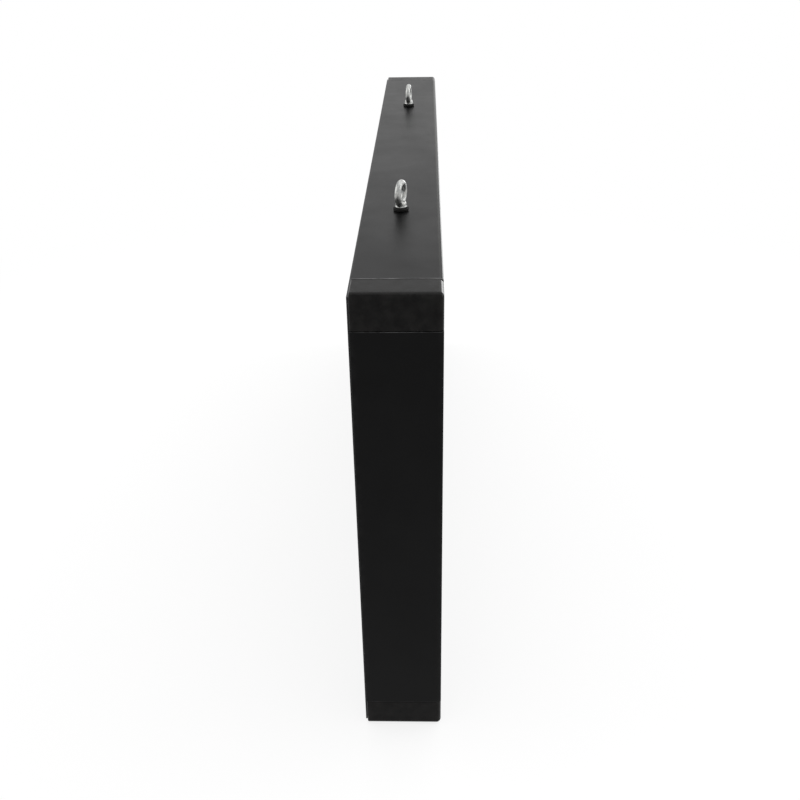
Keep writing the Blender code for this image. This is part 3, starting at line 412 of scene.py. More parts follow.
# Colours that are greys are given as one number
finishes = {
    "coatedAluminium": {"first": (0.0016, 0.0016, 0.0017), "second": (0.0026, 0.0026, 0.0027),
        "blotch": 22, "grain": 1500, "gloss": (0.37, 0.44), "depth": 0.05, "specular": 0.08,
        "worn": 0.012, "wear": 0.35, "edgeGloss": 0.08},
    # painted highlight: the lighter blotches on the sawn edges draw a broken light line along
    # the seams
    "sawnEdge": {"first": 0.003, "second": (0.070, 0.070, 0.072), "blotch": 60, "grain": 1500,
        "gloss": (0.32, 0.42), "depth": 0.05, "specular": 0.08},
    # painted highlight: light grey on the top profile's sawn edges stands in for the light line
    # along the top seams
    "seamHighlight": {"first": 0.07, "second": 0.3, "blotch": 60, "grain": 1500,
        "gloss": (0.32, 0.42), "depth": 0.05, "specular": 0.08},
    "mouldedCorner": {"first": (0.0034, 0.0032, 0.0032), "second": (0.0084, 0.0080, 0.0077),
        "blotch": 150, "grain": 800, "gloss": (0.34, 0.46), "depth": 0.07, "specular": 0.07,
        "worn": (0.022, 0.021, 0.020), "wear": 0.5, "edgeGloss": 0.10},
    "sheetPaint": {"first": (0.009, 0.009, 0.0094), "second": (0.014, 0.014, 0.0144),
        "blotch": 30, "grain": 1300, "gloss": (0.40, 0.50), "depth": 0.07, "specular": 0.22},
    "zincPlate": {"first": (0.26, 0.27, 0.27), "second": (0.46, 0.46, 0.44), "blotch": 420,
        "grain": 2600, "gloss": (0.26, 0.42), "depth": 0.05, "metal": 0.8},
    "washerRubber": {"first": 0.006, "second": 0.01, "blotch": 300, "grain": 1800,
        "gloss": (0.75, 0.9), "depth": 0.12, "specular": 0.2},
    "maskPlastic": {"first": (0.010, 0.010, 0.011), "second": (0.015, 0.015, 0.016),
        "blotch": 60, "grain": 2200, "gloss": (0.62, 0.74), "depth": 0.10, "specular": 0.3},
    "lampHousing": {"first": (0.016, 0.016, 0.017), "second": 0.022, "blotch": 200,
        "grain": 2500, "gloss": (0.45, 0.55), "depth": 0.03},
    "boardMask": {"first": (0.008, 0.075, 0.030), "second": (0.012, 0.100, 0.040),
        "blotch": 160, "grain": 1400, "gloss": (0.25, 0.38), "depth": 0.05},
    "shellPlastic": {"first": 0.01, "second": 0.016, "blotch": 50, "grain": 1800,
        "gloss": (0.55, 0.68), "depth": 0.10},
    "railSteel": {"first": (0.42, 0.43, 0.44), "second": (0.62, 0.63, 0.64), "blotch": 110,
        "grain": 900, "gloss": (0.28, 0.45), "depth": 0.05, "metal": 1},
    "caseAluminium": {"first": (0.56, 0.57, 0.58), "second": (0.66, 0.67, 0.68), "blotch": 80,
        "grain": 2400, "gloss": (0.30, 0.42), "depth": 0.06, "metal": 1},
    "connectorPlastic": {"first": (0.016, 0.016, 0.018), "second": (0.024, 0.024, 0.026),
        "blotch": 140, "grain": 1900, "gloss": (0.42, 0.55), "depth": 0.06},
    "windingTape": {"first": (0.58, 0.43, 0.06), "second": (0.68, 0.53, 0.10), "blotch": 130,
        "grain": 1100, "gloss": (0.30, 0.42), "depth": 0.06},
    "canSleeve": {"first": (0.016, 0.024, 0.060), "second": (0.022, 0.034, 0.080),
        "blotch": 120, "grain": 1500, "gloss": (0.25, 0.36), "depth": 0.03},
    "trayPlastic": {"first": (0.72, 0.71, 0.67), "second": (0.80, 0.79, 0.75), "blotch": 70,
        "grain": 1700, "gloss": (0.40, 0.52), "depth": 0.06},
    "leadSheath": {"first": (0.26, 0.010, 0.009), "second": (0.34, 0.014, 0.012), "blotch": 90,
        "grain": 1600, "gloss": (0.40, 0.52), "depth": 0.05},
    "glandNylon": {"first": 0.009, "second": 0.015, "blotch": 120, "grain": 1700,
        "gloss": (0.38, 0.52), "depth": 0.07, "specular": 0.4},
    "goldPlate": {"first": (0.78, 0.54, 0.20), "second": (0.88, 0.66, 0.30), "blotch": 300,
        "grain": 2400, "gloss": (0.20, 0.34), "depth": 0.04, "metal": 1},
    "aerialPlastic": {"first": 0.008, "second": 0.013, "blotch": 110, "grain": 2000,
        "gloss": (0.45, 0.60), "depth": 0.08, "specular": 0.4},
}


def colourOf(value):
    return (*value, 1) if isinstance(value, tuple) else (value, value, value, 1)


def makeFinish(name, values):
    material = bpy.data.materials.new(name)
    material.use_nodes = True
    tree = material.node_tree
    shader = tree.nodes["Principled BSDF"]
    shader.inputs["Metallic"].default_value = values.get("metal", 0)
    shader.inputs["Specular IOR Level"].default_value = values.get("specular", 0.5)
    grain = addNode(tree, "Group", {
        "First Colour": colourOf(values["first"]), "Second Colour": colourOf(values["second"]),
        "Blotch Scale": values["blotch"], "Grain Scale": values["grain"],
        "Low Roughness": values["gloss"][0], "High Roughness": values["gloss"][1]},
        node_tree=grainGroup)
    bump = addNode(tree, "Bump", {"Strength": values["depth"],
                                  "Distance": surfaceGrain["height"]})
    colour = grain.outputs["Colour"]
    roughness = grain.outputs["Roughness"]
    if "worn" in values:
        wear = addNode(tree, "Group", {
            "Worn Colour": colourOf(values["worn"]), "Amount": values["wear"],
            "Middle": (0, (frontFace + backFace) / 2, top / 2),
            "Half Size": (halfLength, (backFace - frontFace) / 2, top / 2),
            "Width": edgeWear["width"]}, node_tree=wearGroup)
        tree.links.new(colour, wear.inputs["Colour"])
        colour = wear.outputs["Colour"]
        polish = addNode(tree, "MapRange", {"To Max": values["edgeGloss"]})
        tree.links.new(roughness, polish.inputs["To Min"])  # a rounding is rubbed smoother
        tree.links.new(wear.outputs["Rounded"], polish.inputs["Value"])
        roughness = polish.outputs["Result"]
    tree.links.new(colour, shader.inputs["Base Color"])
    tree.links.new(roughness, shader.inputs["Roughness"])
    linkAll(tree, (grain, "Height", bump, "Height"), (bump, "Normal", shader, "Normal"))
    return material


paint = {name: makeFinish(name, values) for name, values in finishes.items()}


def partsOf(material):  # its tree, shader, grain group and the three parts of the place
    tree = material.node_tree
    grain = next(n for n in tree.nodes if n.type == "GROUP")
    place = addNode(tree, "TexCoord")
    apart = addNode(tree, "SeparateXYZ")
    linkAll(tree, (place, "Object", apart, "Vector"))
    return tree, tree.nodes["Principled BSDF"], grain, apart


# painted shade of the ribbon's ridges: the colour darkens towards the groove between two wires
ribbonRidgeShade = {"pitch": 0.00127, "axis": "Z", "grooveShade": 0.45}


def addRidgeShade(material, pitch, axis, grooveShade):  # painted shade: darker bands across a flat cable, one for each wire, stand in for the shade between its ridges
    tree, shader, grain, apart = partsOf(material)
    ridge = addNode(tree, "Math", {1: pitch / 2}, operation="PINGPONG")
    level = addNode(tree, "MapRange", {"From Max": pitch / 2, "To Min": grooveShade})
    tint = addNode(tree, "Mix", {"Factor": 1}, data_type="RGBA", blend_type="MULTIPLY")
    linkAll(tree, (apart, axis, ridge, 0), (ridge, "Value", level, "Value"),
            (grain, "Colour", tint, "A"), (level, "Result", tint, "B"),
            (tint, "Result", shader, "Base Color"))


paint["ribbonGrey"] = makeFinish("ribbonGrey", {
    "first": (0.34, 0.35, 0.36), "second": (0.40, 0.41, 0.42), "blotch": 90, "grain": 1500,
    "gloss": (0.42, 0.55), "depth": 0.05})
addRidgeShade(paint["ribbonGrey"], **ribbonRidgeShade)


def makeLensFinish():  # milky resin over three small dies, on the display's pixel grid
    material = makeFinish("lampLens", {
        "first": (0.42, 0.42, 0.38), "second": (0.52, 0.52, 0.47), "blotch": 240,
        "grain": 1800, "gloss": (0.10, 0.16), "depth": 0.02})
    tree, shader, grain, apart = partsOf(material)
    inPixel = addNode(tree, "CombineXYZ")
    for axis, shift in (("X", 0), ("Z", moduleSize["bezel"])):
        offset = addNode(tree, "Math", {1: shift}, operation="SUBTRACT")
        wrap = addNode(tree, "Math", {1: moduleSize["pitch"], 2: 0}, operation="WRAP")
        linkAll(tree, (apart, axis, offset, 0), (offset, "Value", wrap, 0),
                (wrap, "Value", inPixel, axis))
    colour = grain.outputs["Colour"]
    middle = moduleSize["pitch"] / 2
    for step, tint in zip((1, 0, -1), moduleSize["dieTints"]):
        centre = (middle, 0, middle + step * moduleSize["diePitch"])
        away = addNode(tree, "VectorMath", {1: centre}, operation="DISTANCE")
        onDie = addNode(tree, "Math", {1: moduleSize["dieRadius"]}, operation="LESS_THAN")
        mix = addNode(tree, "Mix", {"B": (*tint, 1)}, data_type="RGBA")
        linkAll(tree, (inPixel, "Vector", away, 0), (away, "Value", onDie, 0),
                (onDie, "Value", mix, "Factor"))
        tree.links.new(colour, mix.inputs["A"])
        colour = mix.outputs["Result"]
    tree.links.new(colour, shader.inputs["Base Color"])
    return material


moduleSize = {
    "pitch": 0.010, "bezel": 0.025, "along": 32, "up": 16, "thickness": 0.002,
    "window": 0.0038, "lamp": 0.0034, "lampCorner": 0.0004, "lampRim": 0.00035,
    "lampSink": 0.00025, "lampProud": 0.0001, "lensRise": 0.8, "louvreThickness": 0.0012,
    "louvreDroop": 0.0006, "louvreEdge": 0.00025, "gussetWidth": 0.0009,
    "gussetReach": 0.0032, "gussetSlope": 0.75, "embed": 0.0003, "weld": 0.00001,
    "diePitch": 0.00075, "dieRadius": 0.00022,
    "dieTints": ((0.30, 0.05, 0.04), (0.06, 0.22, 0.08), (0.05, 0.08, 0.30)),
}
paint["lampLens"] = makeLensFinish()
print("finishes made")


# Stage and camera

def makeCamera():
    data = bpy.data.cameras.new("photoCamera")
    data.lens = photoCamera["lens"]
    data.sensor_width = photoCamera["sensor"]
    data.clip_start = photoCamera["clipStart"]
    camera = bpy.data.objects.new("photoCamera", data)
    bpy.context.scene.collection.objects.link(camera)
    yaw, pitch, roll = (photoCamera[k] for k in ("yaw", "pitch", "roll"))
    ahead = Vector((math.cos(pitch) * math.cos(yaw), math.cos(pitch) * math.sin(yaw),
                    -math.sin(pitch)))
    level = Vector((math.sin(yaw), -math.cos(yaw), 0))
    upward = level.cross(ahead)
    right = level * math.cos(roll) + upward * math.sin(roll)
    above = upward * math.cos(roll) - level * math.sin(roll)
    turn = Matrix((right, above, -ahead)).transposed().to_4x4()
    camera.matrix_world = Matrix.Translation(photoCamera["place"]) @ turn
    bpy.context.scene.camera = camera


def whiteRays(tree):  # the rays that see the floor and the background as plain white
    light = addNode(tree, "LightPath")
    return largestOf(tree, (light, "Is Camera Ray"), (light, "Is Glossy Ray"),
                     (light, "Is Transmission Ray"))


def makeFloor():
    deselectAll()
    bpy.ops.mesh.primitive_plane_add(size=studio["floorSize"])
    floor = nameNew("studioFloor")
    material = bpy.data.materials.new("studioFloor")
    material.use_nodes = True
    tree = material.node_tree
    tree.nodes.clear()
    matt = addNode(tree, "BsdfDiffuse", {"Color": (*studio["floorColour"], 1)})
    white = addNode(tree, "Emission")
    seen = whiteRays(tree)
    share = addNode(tree, "Math", operation="MULTIPLY")
    place = addNode(tree, "TexCoord")
    away = addNode(tree, "VectorMath", operation="LENGTH")
    fade = addNode(tree, "MapRange", {
        "From Min": studio["shadowReach"][0], "From Max": studio["shadowReach"][1],
        "To Min": 1 - studio["shadowShare"]}, interpolation_type="SMOOTHSTEP")
    mix = addNode(tree, "MixShader")
    output = addNode(tree, "OutputMaterial")
    linkAll(tree,
            (place, "Object", away, 0), (away, "Value", fade, "Value"),
            (fade, "Result", share, 1), (seen, "Value", share, 0), (share, "Value", mix, "Fac"),
            (matt, "BSDF", mix, 1), (white, "Emission", mix, 2),
            (mix, "Shader", output, "Surface"))
    floor.data.materials.append(material)


def makeWorld():
    world = bpy.data.worlds.new("studio")
    bpy.context.scene.world = world
    world.use_nodes = True
    tree = world.node_tree
    tree.nodes.clear()
    seen = whiteRays(tree)
    soft = addNode(tree, "Background", {"Strength": studio["ambient"], "Color": colourOf(1)})
    white = addNode(tree, "Background", {"Color": colourOf(1)})
    mix = addNode(tree, "MixShader")
    output = addNode(tree, "OutputWorld")
    linkAll(tree, (seen, "Value", mix, "Fac"), (soft, "Background", mix, 1),
            (white, "Background", mix, 2), (mix, "Shader", output, "Surface"))


def makeLamps():
    for name, values in studio["lamps"].items():
        data = bpy.data.lights.new(name, "AREA")
        data.shape = "DISK"
        data.size = values["size"]
        data.energy = values["power"]
        lamp = bpy.data.objects.new(name, data)
        lamp.location = values["place"]
        aim = Vector(values["aim"]) - Vector(values["place"])
        lamp.rotation_euler = aim.to_track_quat("-Z", "Y").to_euler()
        bpy.context.scene.collection.objects.link(lamp)


makeCamera()
makeFloor()
makeWorld()
makeLamps()
bpy.context.scene.view_settings.view_transform = "Standard"
print("camera, floor and lamps made")


# Frame: four extruded profiles and four corner blocks

cabinet = {
    "wall": 0.0015, "flange": 0.012, "chamber": 0.0195, "outerRound": 0.0034,
    "innerRound": 0.001, "sawnEdge": 0.0003, "tongue": 0.016, "tongueFit": 0.0018,
    "blockWall": 0.003, "blockInset": 0.0001, "blockRound": 0.0045, "seamRound": 0.0009,
    "tongueRound": 0.0004, "seamReach": 0.0002, "steps": 8, "innerSteps": 4,
    "sawnSteps": 2, "seamSteps": 3, "endFlat": 0.98,
}


def turnInPlace(piece, place, degrees):
    piece.location = place
    piece.rotation_euler = (0, math.radians(degrees), 0)
    bakePlace(piece)


def makeProfile(name, span, place, degrees, ends="sawnEdge"):
    wall = cabinet["wall"]
    chamberBack = frontFace + cabinet["chamber"]
    bar = addBox(name, (-span / 2, frontFace, 0), (span / 2, chamberBack, bezel))
    openEdit(bar)
    cutAcross(bar, (0, 0, wall), (0, 0, 1))
    selectFaces(bar, lambda at, out: out.y > square and at.z < wall)
    pushOut((0, backFace - wall - chamberBack, 0))
    pushOut((0, wall, 0))
    selectFaces(bar, lambda at, out: out.z > square and at.y > backFace - wall)
    pushOut((0, 0, cabinet["flange"] - wall))
    for up, width, steps in ((0, "outerRound", "steps"), (bezel, "innerRound", "innerSteps")):
        selectEdges(bar, lambda at, way: abs(way.x) > square
                    and abs(at.y - frontFace) < near and abs(at.z - up) < near)
        roundEdges(cabinet[width], cabinet[steps])
    closeEdit()
    hollow = addBox("hollow", (-span, frontFace + wall, wall),
                    (span, chamberBack - wall, bezel - wall))
    combine(bar, hollow, "DIFFERENCE")
    openEdit(bar, "EDGE")
    selectEdges(bar, lambda at, way: abs(way.x) < 1 - square
                and abs(abs(at.x) - span / 2) < near)
    roundEdges(cabinet["sawnEdge"], cabinet["sawnSteps"])
    bpy.ops.object.mode_set(mode="OBJECT")
    bar.data.materials.append(paint["coatedAluminium"])
    bar.data.materials.append(paint[ends])
    # the sawn edge faces take the second finish, which paints a highlight line along each seam
    paintFaces(bar, lambda at, out: abs(out.x) < cabinet["endFlat"]
               and abs(at.x) > span / 2 - cabinet["sawnEdge"])
    closeEdit()
    turnInPlace(bar, place, degrees)
    smooth(bar, 30, True)
    hang(bar, "sign", "frame_profile", name + "_profile")
    bar.name = name + "Profile"


def makeProfiles():
    reach = 2 * cabinet["seamReach"]
    low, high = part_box("top_profile")
    level = high.x - low.x + reach
    low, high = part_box("left_profile")
    standing = high.z - low.z + reach
    middle = (low.z + high.z) / 2
    makeProfile("bottom", level, (0, 0, 0), 0)
    # the top profile's sawn edges carry a painted highlight along its seams
    makeProfile("top", level, (0, 0, top), 180, "seamHighlight")
    makeProfile("left", standing, (-halfLength, 0, middle), 90)
    makeProfile("right", standing, (halfLength, 0, middle), -90)


def makeCornerBlock(name, place, degrees):
    inset = cabinet["blockInset"]
    block = addBox(name, (inset, frontFace, inset), (bezel, backFace, bezel))
    openEdit(block, "EDGE")
    selectEdges(block, lambda at, way: abs(way.y) > square and at.x < bezel / 2
                and at.z < bezel / 2)
    roundEdges(cabinet["blockRound"], cabinet["steps"])
    inside = bezel - near
    selectEdges(block, lambda at, way: at.y < frontFace + near
                and at.x < inside and at.z < inside)
    roundEdges(cabinet["outerRound"], cabinet["steps"])
    selectEdges(block, lambda at, way: at.y > backFace - near and at.x < inside and at.z < inside
                or at.x > inside and at.z < inside and abs(way.x) < near
                or at.z > inside and at.x < inside and abs(way.z) < near)
    roundEdges(cabinet["seamRound"], cabinet["seamSteps"])
    closeEdit()
    pocket = addBox("pocket", (cabinet["blockWall"], frontFace + cabinet["chamber"],
                               cabinet["blockWall"]),
                    (2 * bezel, backFace - cabinet["blockWall"], 2 * bezel))
    combine(block, pocket, "DIFFERENCE")
    fit = cabinet["tongueFit"]
    low = (bezel - fit, frontFace + fit, fit)
    high = (bezel + cabinet["tongue"], frontFace + cabinet["chamber"] - fit, bezel - fit)
    level = addBox("levelTongue", low, high)
    standing = addBox("standingTongue", (low[2], low[1], low[0]), (high[2], high[1], high[0]))
    for tongue in (level, standing):
        soften(tongue, cabinet["tongueRound"])
    block = joinPieces(name, [block, level, standing])
    turnInPlace(block, place, degrees)
    smooth(block, 40, True)
    dress(block, "mouldedCorner", "sign", "corner_block", name)
    block.name = name.replace("corner_block", "cornerBlock")


def makeCornerBlocks():
    for name, side, up, degrees in (("bottom_left", -1, 0, 0), ("top_left", -1, top, 90),
                                    ("top_right", 1, top, 180), ("bottom_right", 1, 0, 270)):
        makeCornerBlock("corner_block_" + name, (side * halfLength, 0, up), degrees)


makeProfiles()
makeCornerBlocks()
print("frame made")


# Eye bolts, their washers and nuts

eyeBolt = {
    "ring": 0.0078, "wire": 0.00234, "ringUp": 0.0128, "flange": 0.0047, "flangeLow": 0.0026,
    "rimHigh": 0.0038, "rimSteps": 5, "shoulder": 0.0043, "neck": 0.0030, "neckHigh": 0.0068,
    "neckSteps": 6, "edge": 0.0003, "shank": 0.0029, "root": 0.0025, "pitch": 0.001,
    "shankLength": 0.016, "voxel": 0.00024, "turns": {"left": -16.4, "right": -5.7},
    "partingRidge": 1.004, "outermost": 0.99, "crest": (0.45, 0.55),
    "ringSegments": (72, 24), "smoothing": (0.5, 5), "sides": 48, "threadSides": 24,
}
washers = {"rubberEdge": 0.0004, "steelEdge": 0.0002, "nutEdge": 0.0001, "bore": 0.0033,
           "sides": 48, "boreSides": 24}


def makeEyeBolt(side):
    low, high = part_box("rubber_washer_" + side)
    along, across = (low.x + high.x) / 2, (low.y + high.y) / 2
    v = eyeBolt
    rings = [(v["flange"] - v["edge"], v["flangeLow"])]
    # the flange's rim, rounded over to the shoulder's foot, and the shoulder up to the neck
    rings += arcRings(v["shoulder"], v["flange"], v["flangeLow"] + v["edge"], v["rimHigh"],
                      v["rimSteps"], range(v["rimSteps"] + 1))
    rings += arcRings(v["neck"], v["shoulder"], v["rimHigh"], v["neckHigh"], v["neckSteps"],
                      range(1, v["neckSteps"] + 1))
    base = turnPiece("flange", rings, v["sides"])
    deselectAll()
    around, section = v["ringSegments"]
    bpy.ops.mesh.primitive_torus_add(major_radius=v["ring"], minor_radius=v["wire"],
                                     major_segments=around, minor_segments=section,
                                     location=(0, 0, v["ringUp"]),
                                     rotation=(math.radians(90), 0, 0))
    ring = nameNew("ring")
    openEdit(ring, "EDGE")
    outside = v["ring"] + v["wire"]
    selectEdges(ring, lambda at, way: abs(at.y) < near
                and (at - Vector((0, 0, v["ringUp"]))).length > outside * v["outermost"])
    bpy.ops.transform.resize(value=(v["partingRidge"], 1, v["partingRidge"]),
                             center_override=(0, 0, v["ringUp"]))
    closeEdit()
    combine(base, ring, "UNION")
    applyModifier(base, "REMESH", mode="VOXEL", voxel_size=v["voxel"])
    factor, iterations = v["smoothing"]
    applyModifier(base, "SMOOTH", factor=factor, iterations=iterations)
    shank = makeThread(v)
    base = joinPieces("eyeBolt_" + side, [base, shank])
    base.location = (along, across, top)
    base.rotation_euler = (0, 0, math.radians(v["turns"][side]))
    bakePlace(base)
    smooth(base, 60)
    dress(base, "zincPlate", "eye_" + side, "eye_bolt", "eye_bolt_" + side)


def makeThread(v):  # a core with a turned groove for each pitch
    rings = [(v["root"] - v["edge"], -v["shankLength"])]
    turns = int((v["shankLength"] + v["flangeLow"]) / v["pitch"]) - 1
    for i in range(turns):
        foot = -v["shankLength"] + v["edge"] + i * v["pitch"]
        rings.append((v["root"], foot))
        rings += [(v["shank"], foot + v["pitch"] * share) for share in v["crest"]]
    rings.append((v["root"], v["flangeLow"] - v["pitch"]))
    rings.append((v["root"], v["flangeLow"] + v["edge"]))
    return turnPiece("thread", rings, v["threadSides"])


def makeWasher(name, node, edge, bore, finish, slot):
    low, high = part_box(node)
    radius, thick = (high.x - low.x) / 2, high.z - low.z
    washer = turnPiece(name, [
        (bore + edge, 0), (radius - edge, 0), (radius, edge), (radius, thick - edge),
        (radius - edge, thick), (bore + edge, thick), (bore, thick - edge), (bore, edge)],
        washers["sides"], True, ((low.x + high.x) / 2, (low.y + high.y) / 2, low.z))
    smooth(washer, 40)
    dress(washer, finish, "sign", slot, node)


def makeNut(name, node, bore, edge):
    low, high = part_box(node)
    thick = high.z - low.z
    corner = max(high.x - low.x, high.y - low.y) / 2
    place = ((low.x + high.x) / 2, (low.y + high.y) / 2, (low.z + high.z) / 2)
    deselectAll()
    bpy.ops.mesh.primitive_cylinder_add(vertices=6, radius=corner, depth=thick, location=place)
    nut = nameNew(name)
    flats = corner * math.cos(math.radians(30))
    chamfer = corner - flats
    rings = [(flats, 0), (corner + edge, chamfer), (corner + edge, thick - chamfer),
             (flats, thick)]
    foot = (place[0], place[1], low.z)
    combine(nut, turnPiece("chamfer", rings, washers["sides"], False, foot), "INTERSECT")
    hole = turnPiece("hole", [(bore, -thick), (bore, 2 * thick)], washers["boreSides"],
                     False, foot)
    combine(nut, hole, "DIFFERENCE")
    smooth(nut, 25)
    dress(nut, "zincPlate", "sign", "plain_washer", node)


for side in columns:
    makeEyeBolt(side)
    makeWasher("rubberWasher_" + side, "rubber_washer_" + side, washers["rubberEdge"],
               washers["bore"], "washerRubber", "rubber_washer")
    makeWasher("steelWasher_" + side, "steel_washer_" + side, washers["steelEdge"],
               washers["bore"], "zincPlate", "plain_washer")
    makeNut("eyeNut_" + side, "eye_bolt_nut_" + side, washers["bore"], washers["nutEdge"])
print("eye bolts made")


# Display modules: masks with a window, a louvre and a lamp for every pixel

def makeMask(row, column):
    node = "mask_" + row + "_" + column
    low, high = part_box(node)
    v = moduleSize
    face = high.y - v["thickness"]
    middle = ((low.x + high.x) / 2, (low.z + high.z) / 2)
    first = (middle[0] - (v["along"] - 1) / 2 * v["pitch"],
             middle[1] - (v["up"] - 1) / 2 * v["pitch"])
    deselectAll()
    bpy.ops.mesh.primitive_plane_add(size=v["pitch"], location=(first[0], face, first[1]),
                                     rotation=(math.radians(90), 0, 0))
    sheet = nameNew("sheet")
    openEdit(sheet)
    bpy.ops.mesh.select_all(action="SELECT")
    bpy.ops.mesh.inset(thickness=(v["pitch"] - v["window"]) / 2)
    bpy.ops.mesh.delete(type="FACE")
    closeEdit()
    tile(sheet, v["along"], v["up"], v["pitch"], v["pitch"], use_merge_vertices=True,
         merge_threshold=v["weld"])
    applyModifier(sheet, "SOLIDIFY", thickness=v["thickness"], offset=-1)
    squeeze(sheet, low, high)
    louvres = makeLouvres(low, high, face, v)
    mask = joinPieces(node + "_louvred", [sheet] + louvres)
    smooth(mask, 30)
    dress(mask, "maskPlastic", "sign", "display_mask", node)
    makeModuleLamps(row, column, first, face)


def squeeze(sheet, low, high):  # brings the outer edge in by the gap between modules
    openEdit(sheet, "VERT")
    shape = bmesh.from_edit_mesh(sheet.data)
    for vertex in shape.verts:
        vertex.co.x = min(max(vertex.co.x, low.x), high.x)
        vertex.co.z = min(max(vertex.co.z, low.z), high.z)
    bmesh.update_edit_mesh(sheet.data)
    closeEdit()


def makeLouvres(low, high, face, v):
    rootY = face + v["embed"]
    step = (high.z - low.z) / v["up"]
    bar = addBox("louvre", (low.x, low.y, high.z - v["louvreThickness"]),
                 (high.x, rootY, high.z))
    openEdit(bar)
    selectFaces(bar, lambda at, out: out.y < -square)
    bpy.ops.transform.translate(value=(0, 0, -v["louvreDroop"]))
    selectEdges(bar, lambda at, way: abs(way.x) > square and at.y < low.y + near)
    roundEdges(v["louvreEdge"], 2)
    closeEdit()
    tile(bar, 1, v["up"], 0, -step)
    gussetTop = high.z - v["louvreThickness"] / 2
    firstEdge = (low.x + high.x) / 2 - (v["along"] / 2 - 1) * v["pitch"]
    gusset = addBox("gusset", (firstEdge - v["gussetWidth"] / 2, face - v["gussetReach"],
                               gussetTop - v["gussetReach"]),
                    (firstEdge + v["gussetWidth"] / 2, rootY, gussetTop))
    openEdit(gusset, "EDGE")
    selectEdges(gusset, lambda at, way: abs(way.x) > square and at.y < face
                and at.z < gussetTop - near)
    bpy.ops.transform.translate(value=(0, 0, v["gussetReach"] * v["gussetSlope"]))
    closeEdit()
    tile(gusset, v["along"] - 1, v["up"], v["pitch"], -step)
    return [bar, gusset]


def makeModuleLamps(row, column, first, face):
    v = moduleSize
    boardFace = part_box("board_" + row + "_" + column)[0].y
    half = v["lamp"] / 2
    lamp = addBox("lamp", (first[0] - half, face - v["lampProud"], first[1] - half),
                  (first[0] + half, boardFace - near, first[1] + half))
    openEdit(lamp, "EDGE")
    selectEdges(lamp, lambda at, way: abs(way.y) > square)
    roundEdges(v["lampCorner"], 1)
    selectFaces(lamp, lambda at, out: out.y < -square)
    bpy.ops.mesh.inset(thickness=v["lampRim"])
    pushOut((0, v["lampSink"], 0))
    bpy.ops.object.mode_set(mode="OBJECT")
    lamp.data.materials.append(paint["lampHousing"])
    lamp.data.materials.append(paint["lampLens"])
    paintFaces(lamp, lambda at, out: out.y < -square and abs(at.x - first[0]) < near
               and abs(at.z - first[1]) < near)
    bpy.ops.mesh.poke(offset=v["lampSink"] * v["lensRise"])
    closeEdit()
    tile(lamp, v["along"], v["up"], v["pitch"], v["pitch"])
    lamp.name = "lamps_" + row + "_" + column
    hang(lamp, "sign", "display_mask")


for row in rows:
    for column in columns:
        makeMask(row, column)
print("display modules made")


# Back sheet with its vents, holes and countersunk screws

backSheet = {
    "ventWidth": 0.0035, "ventHeight": 0.030, "ventPitch": 0.010, "ventCount": 6,
    "ventFromEdge": 0.060, "ventFromMiddle": 0.180, "glandHole": 0.0063, "aerialHole": 0.0034,
    "thickness": 0.0012, "sheetEdge": 0.0002, "ventRound": 0.499, "seatRadius": 0.0031,
    "seatDepth": 0.00025, "crossLength": 0.0030, "crossWidth": 0.0007, "crossDepth": 0.0006,
    "headDome": 0.0002, "overrun": 0.002, "screwFromEdge": 0.008,
    "levelShares": (-0.42, -0.14, 0.14, 0.42), "sideShares": (-0.28, 0.28),
    "postInset": 0.005, "shank": 0.0015, "tip": 0.0014, "shankLength": 0.006,
    "tipLength": 0.0005, "ventSteps": 6, "holeSides": 40, "screwSides": 24,
    "headRings": ((0.0029, -0.000225), (0.0029, -0.000075), (0.00232, -0.00004), (0.00116, 0)),
}


def spanAlongY(node):  # middle along X and Z, and both ends along Y
    low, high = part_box(node)
    return (low.x + high.x) / 2, (low.z + high.z) / 2, low.y, high.y


def sheetScrewPlaces():
    v = backSheet
    places = [(share * 2 * halfLength, up) for share in v["levelShares"]
              for up in (v["screwFromEdge"], top - v["screwFromEdge"])]
    places += [(side * (halfLength - v["screwFromEdge"]), top / 2 + share * top)
               for side in (-1, 1) for share in v["sideShares"]]
    low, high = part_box("supply_tray")
    places += [(side * (high.x - low.x) / 3, top / 2) for side in (-1, 1)]
    low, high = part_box("card_tray")
    places += [(x, z) for x in (low.x + v["postInset"], high.x - v["postInset"])
               for z in (low.z + v["postInset"], high.z - v["postInset"])]
    return places


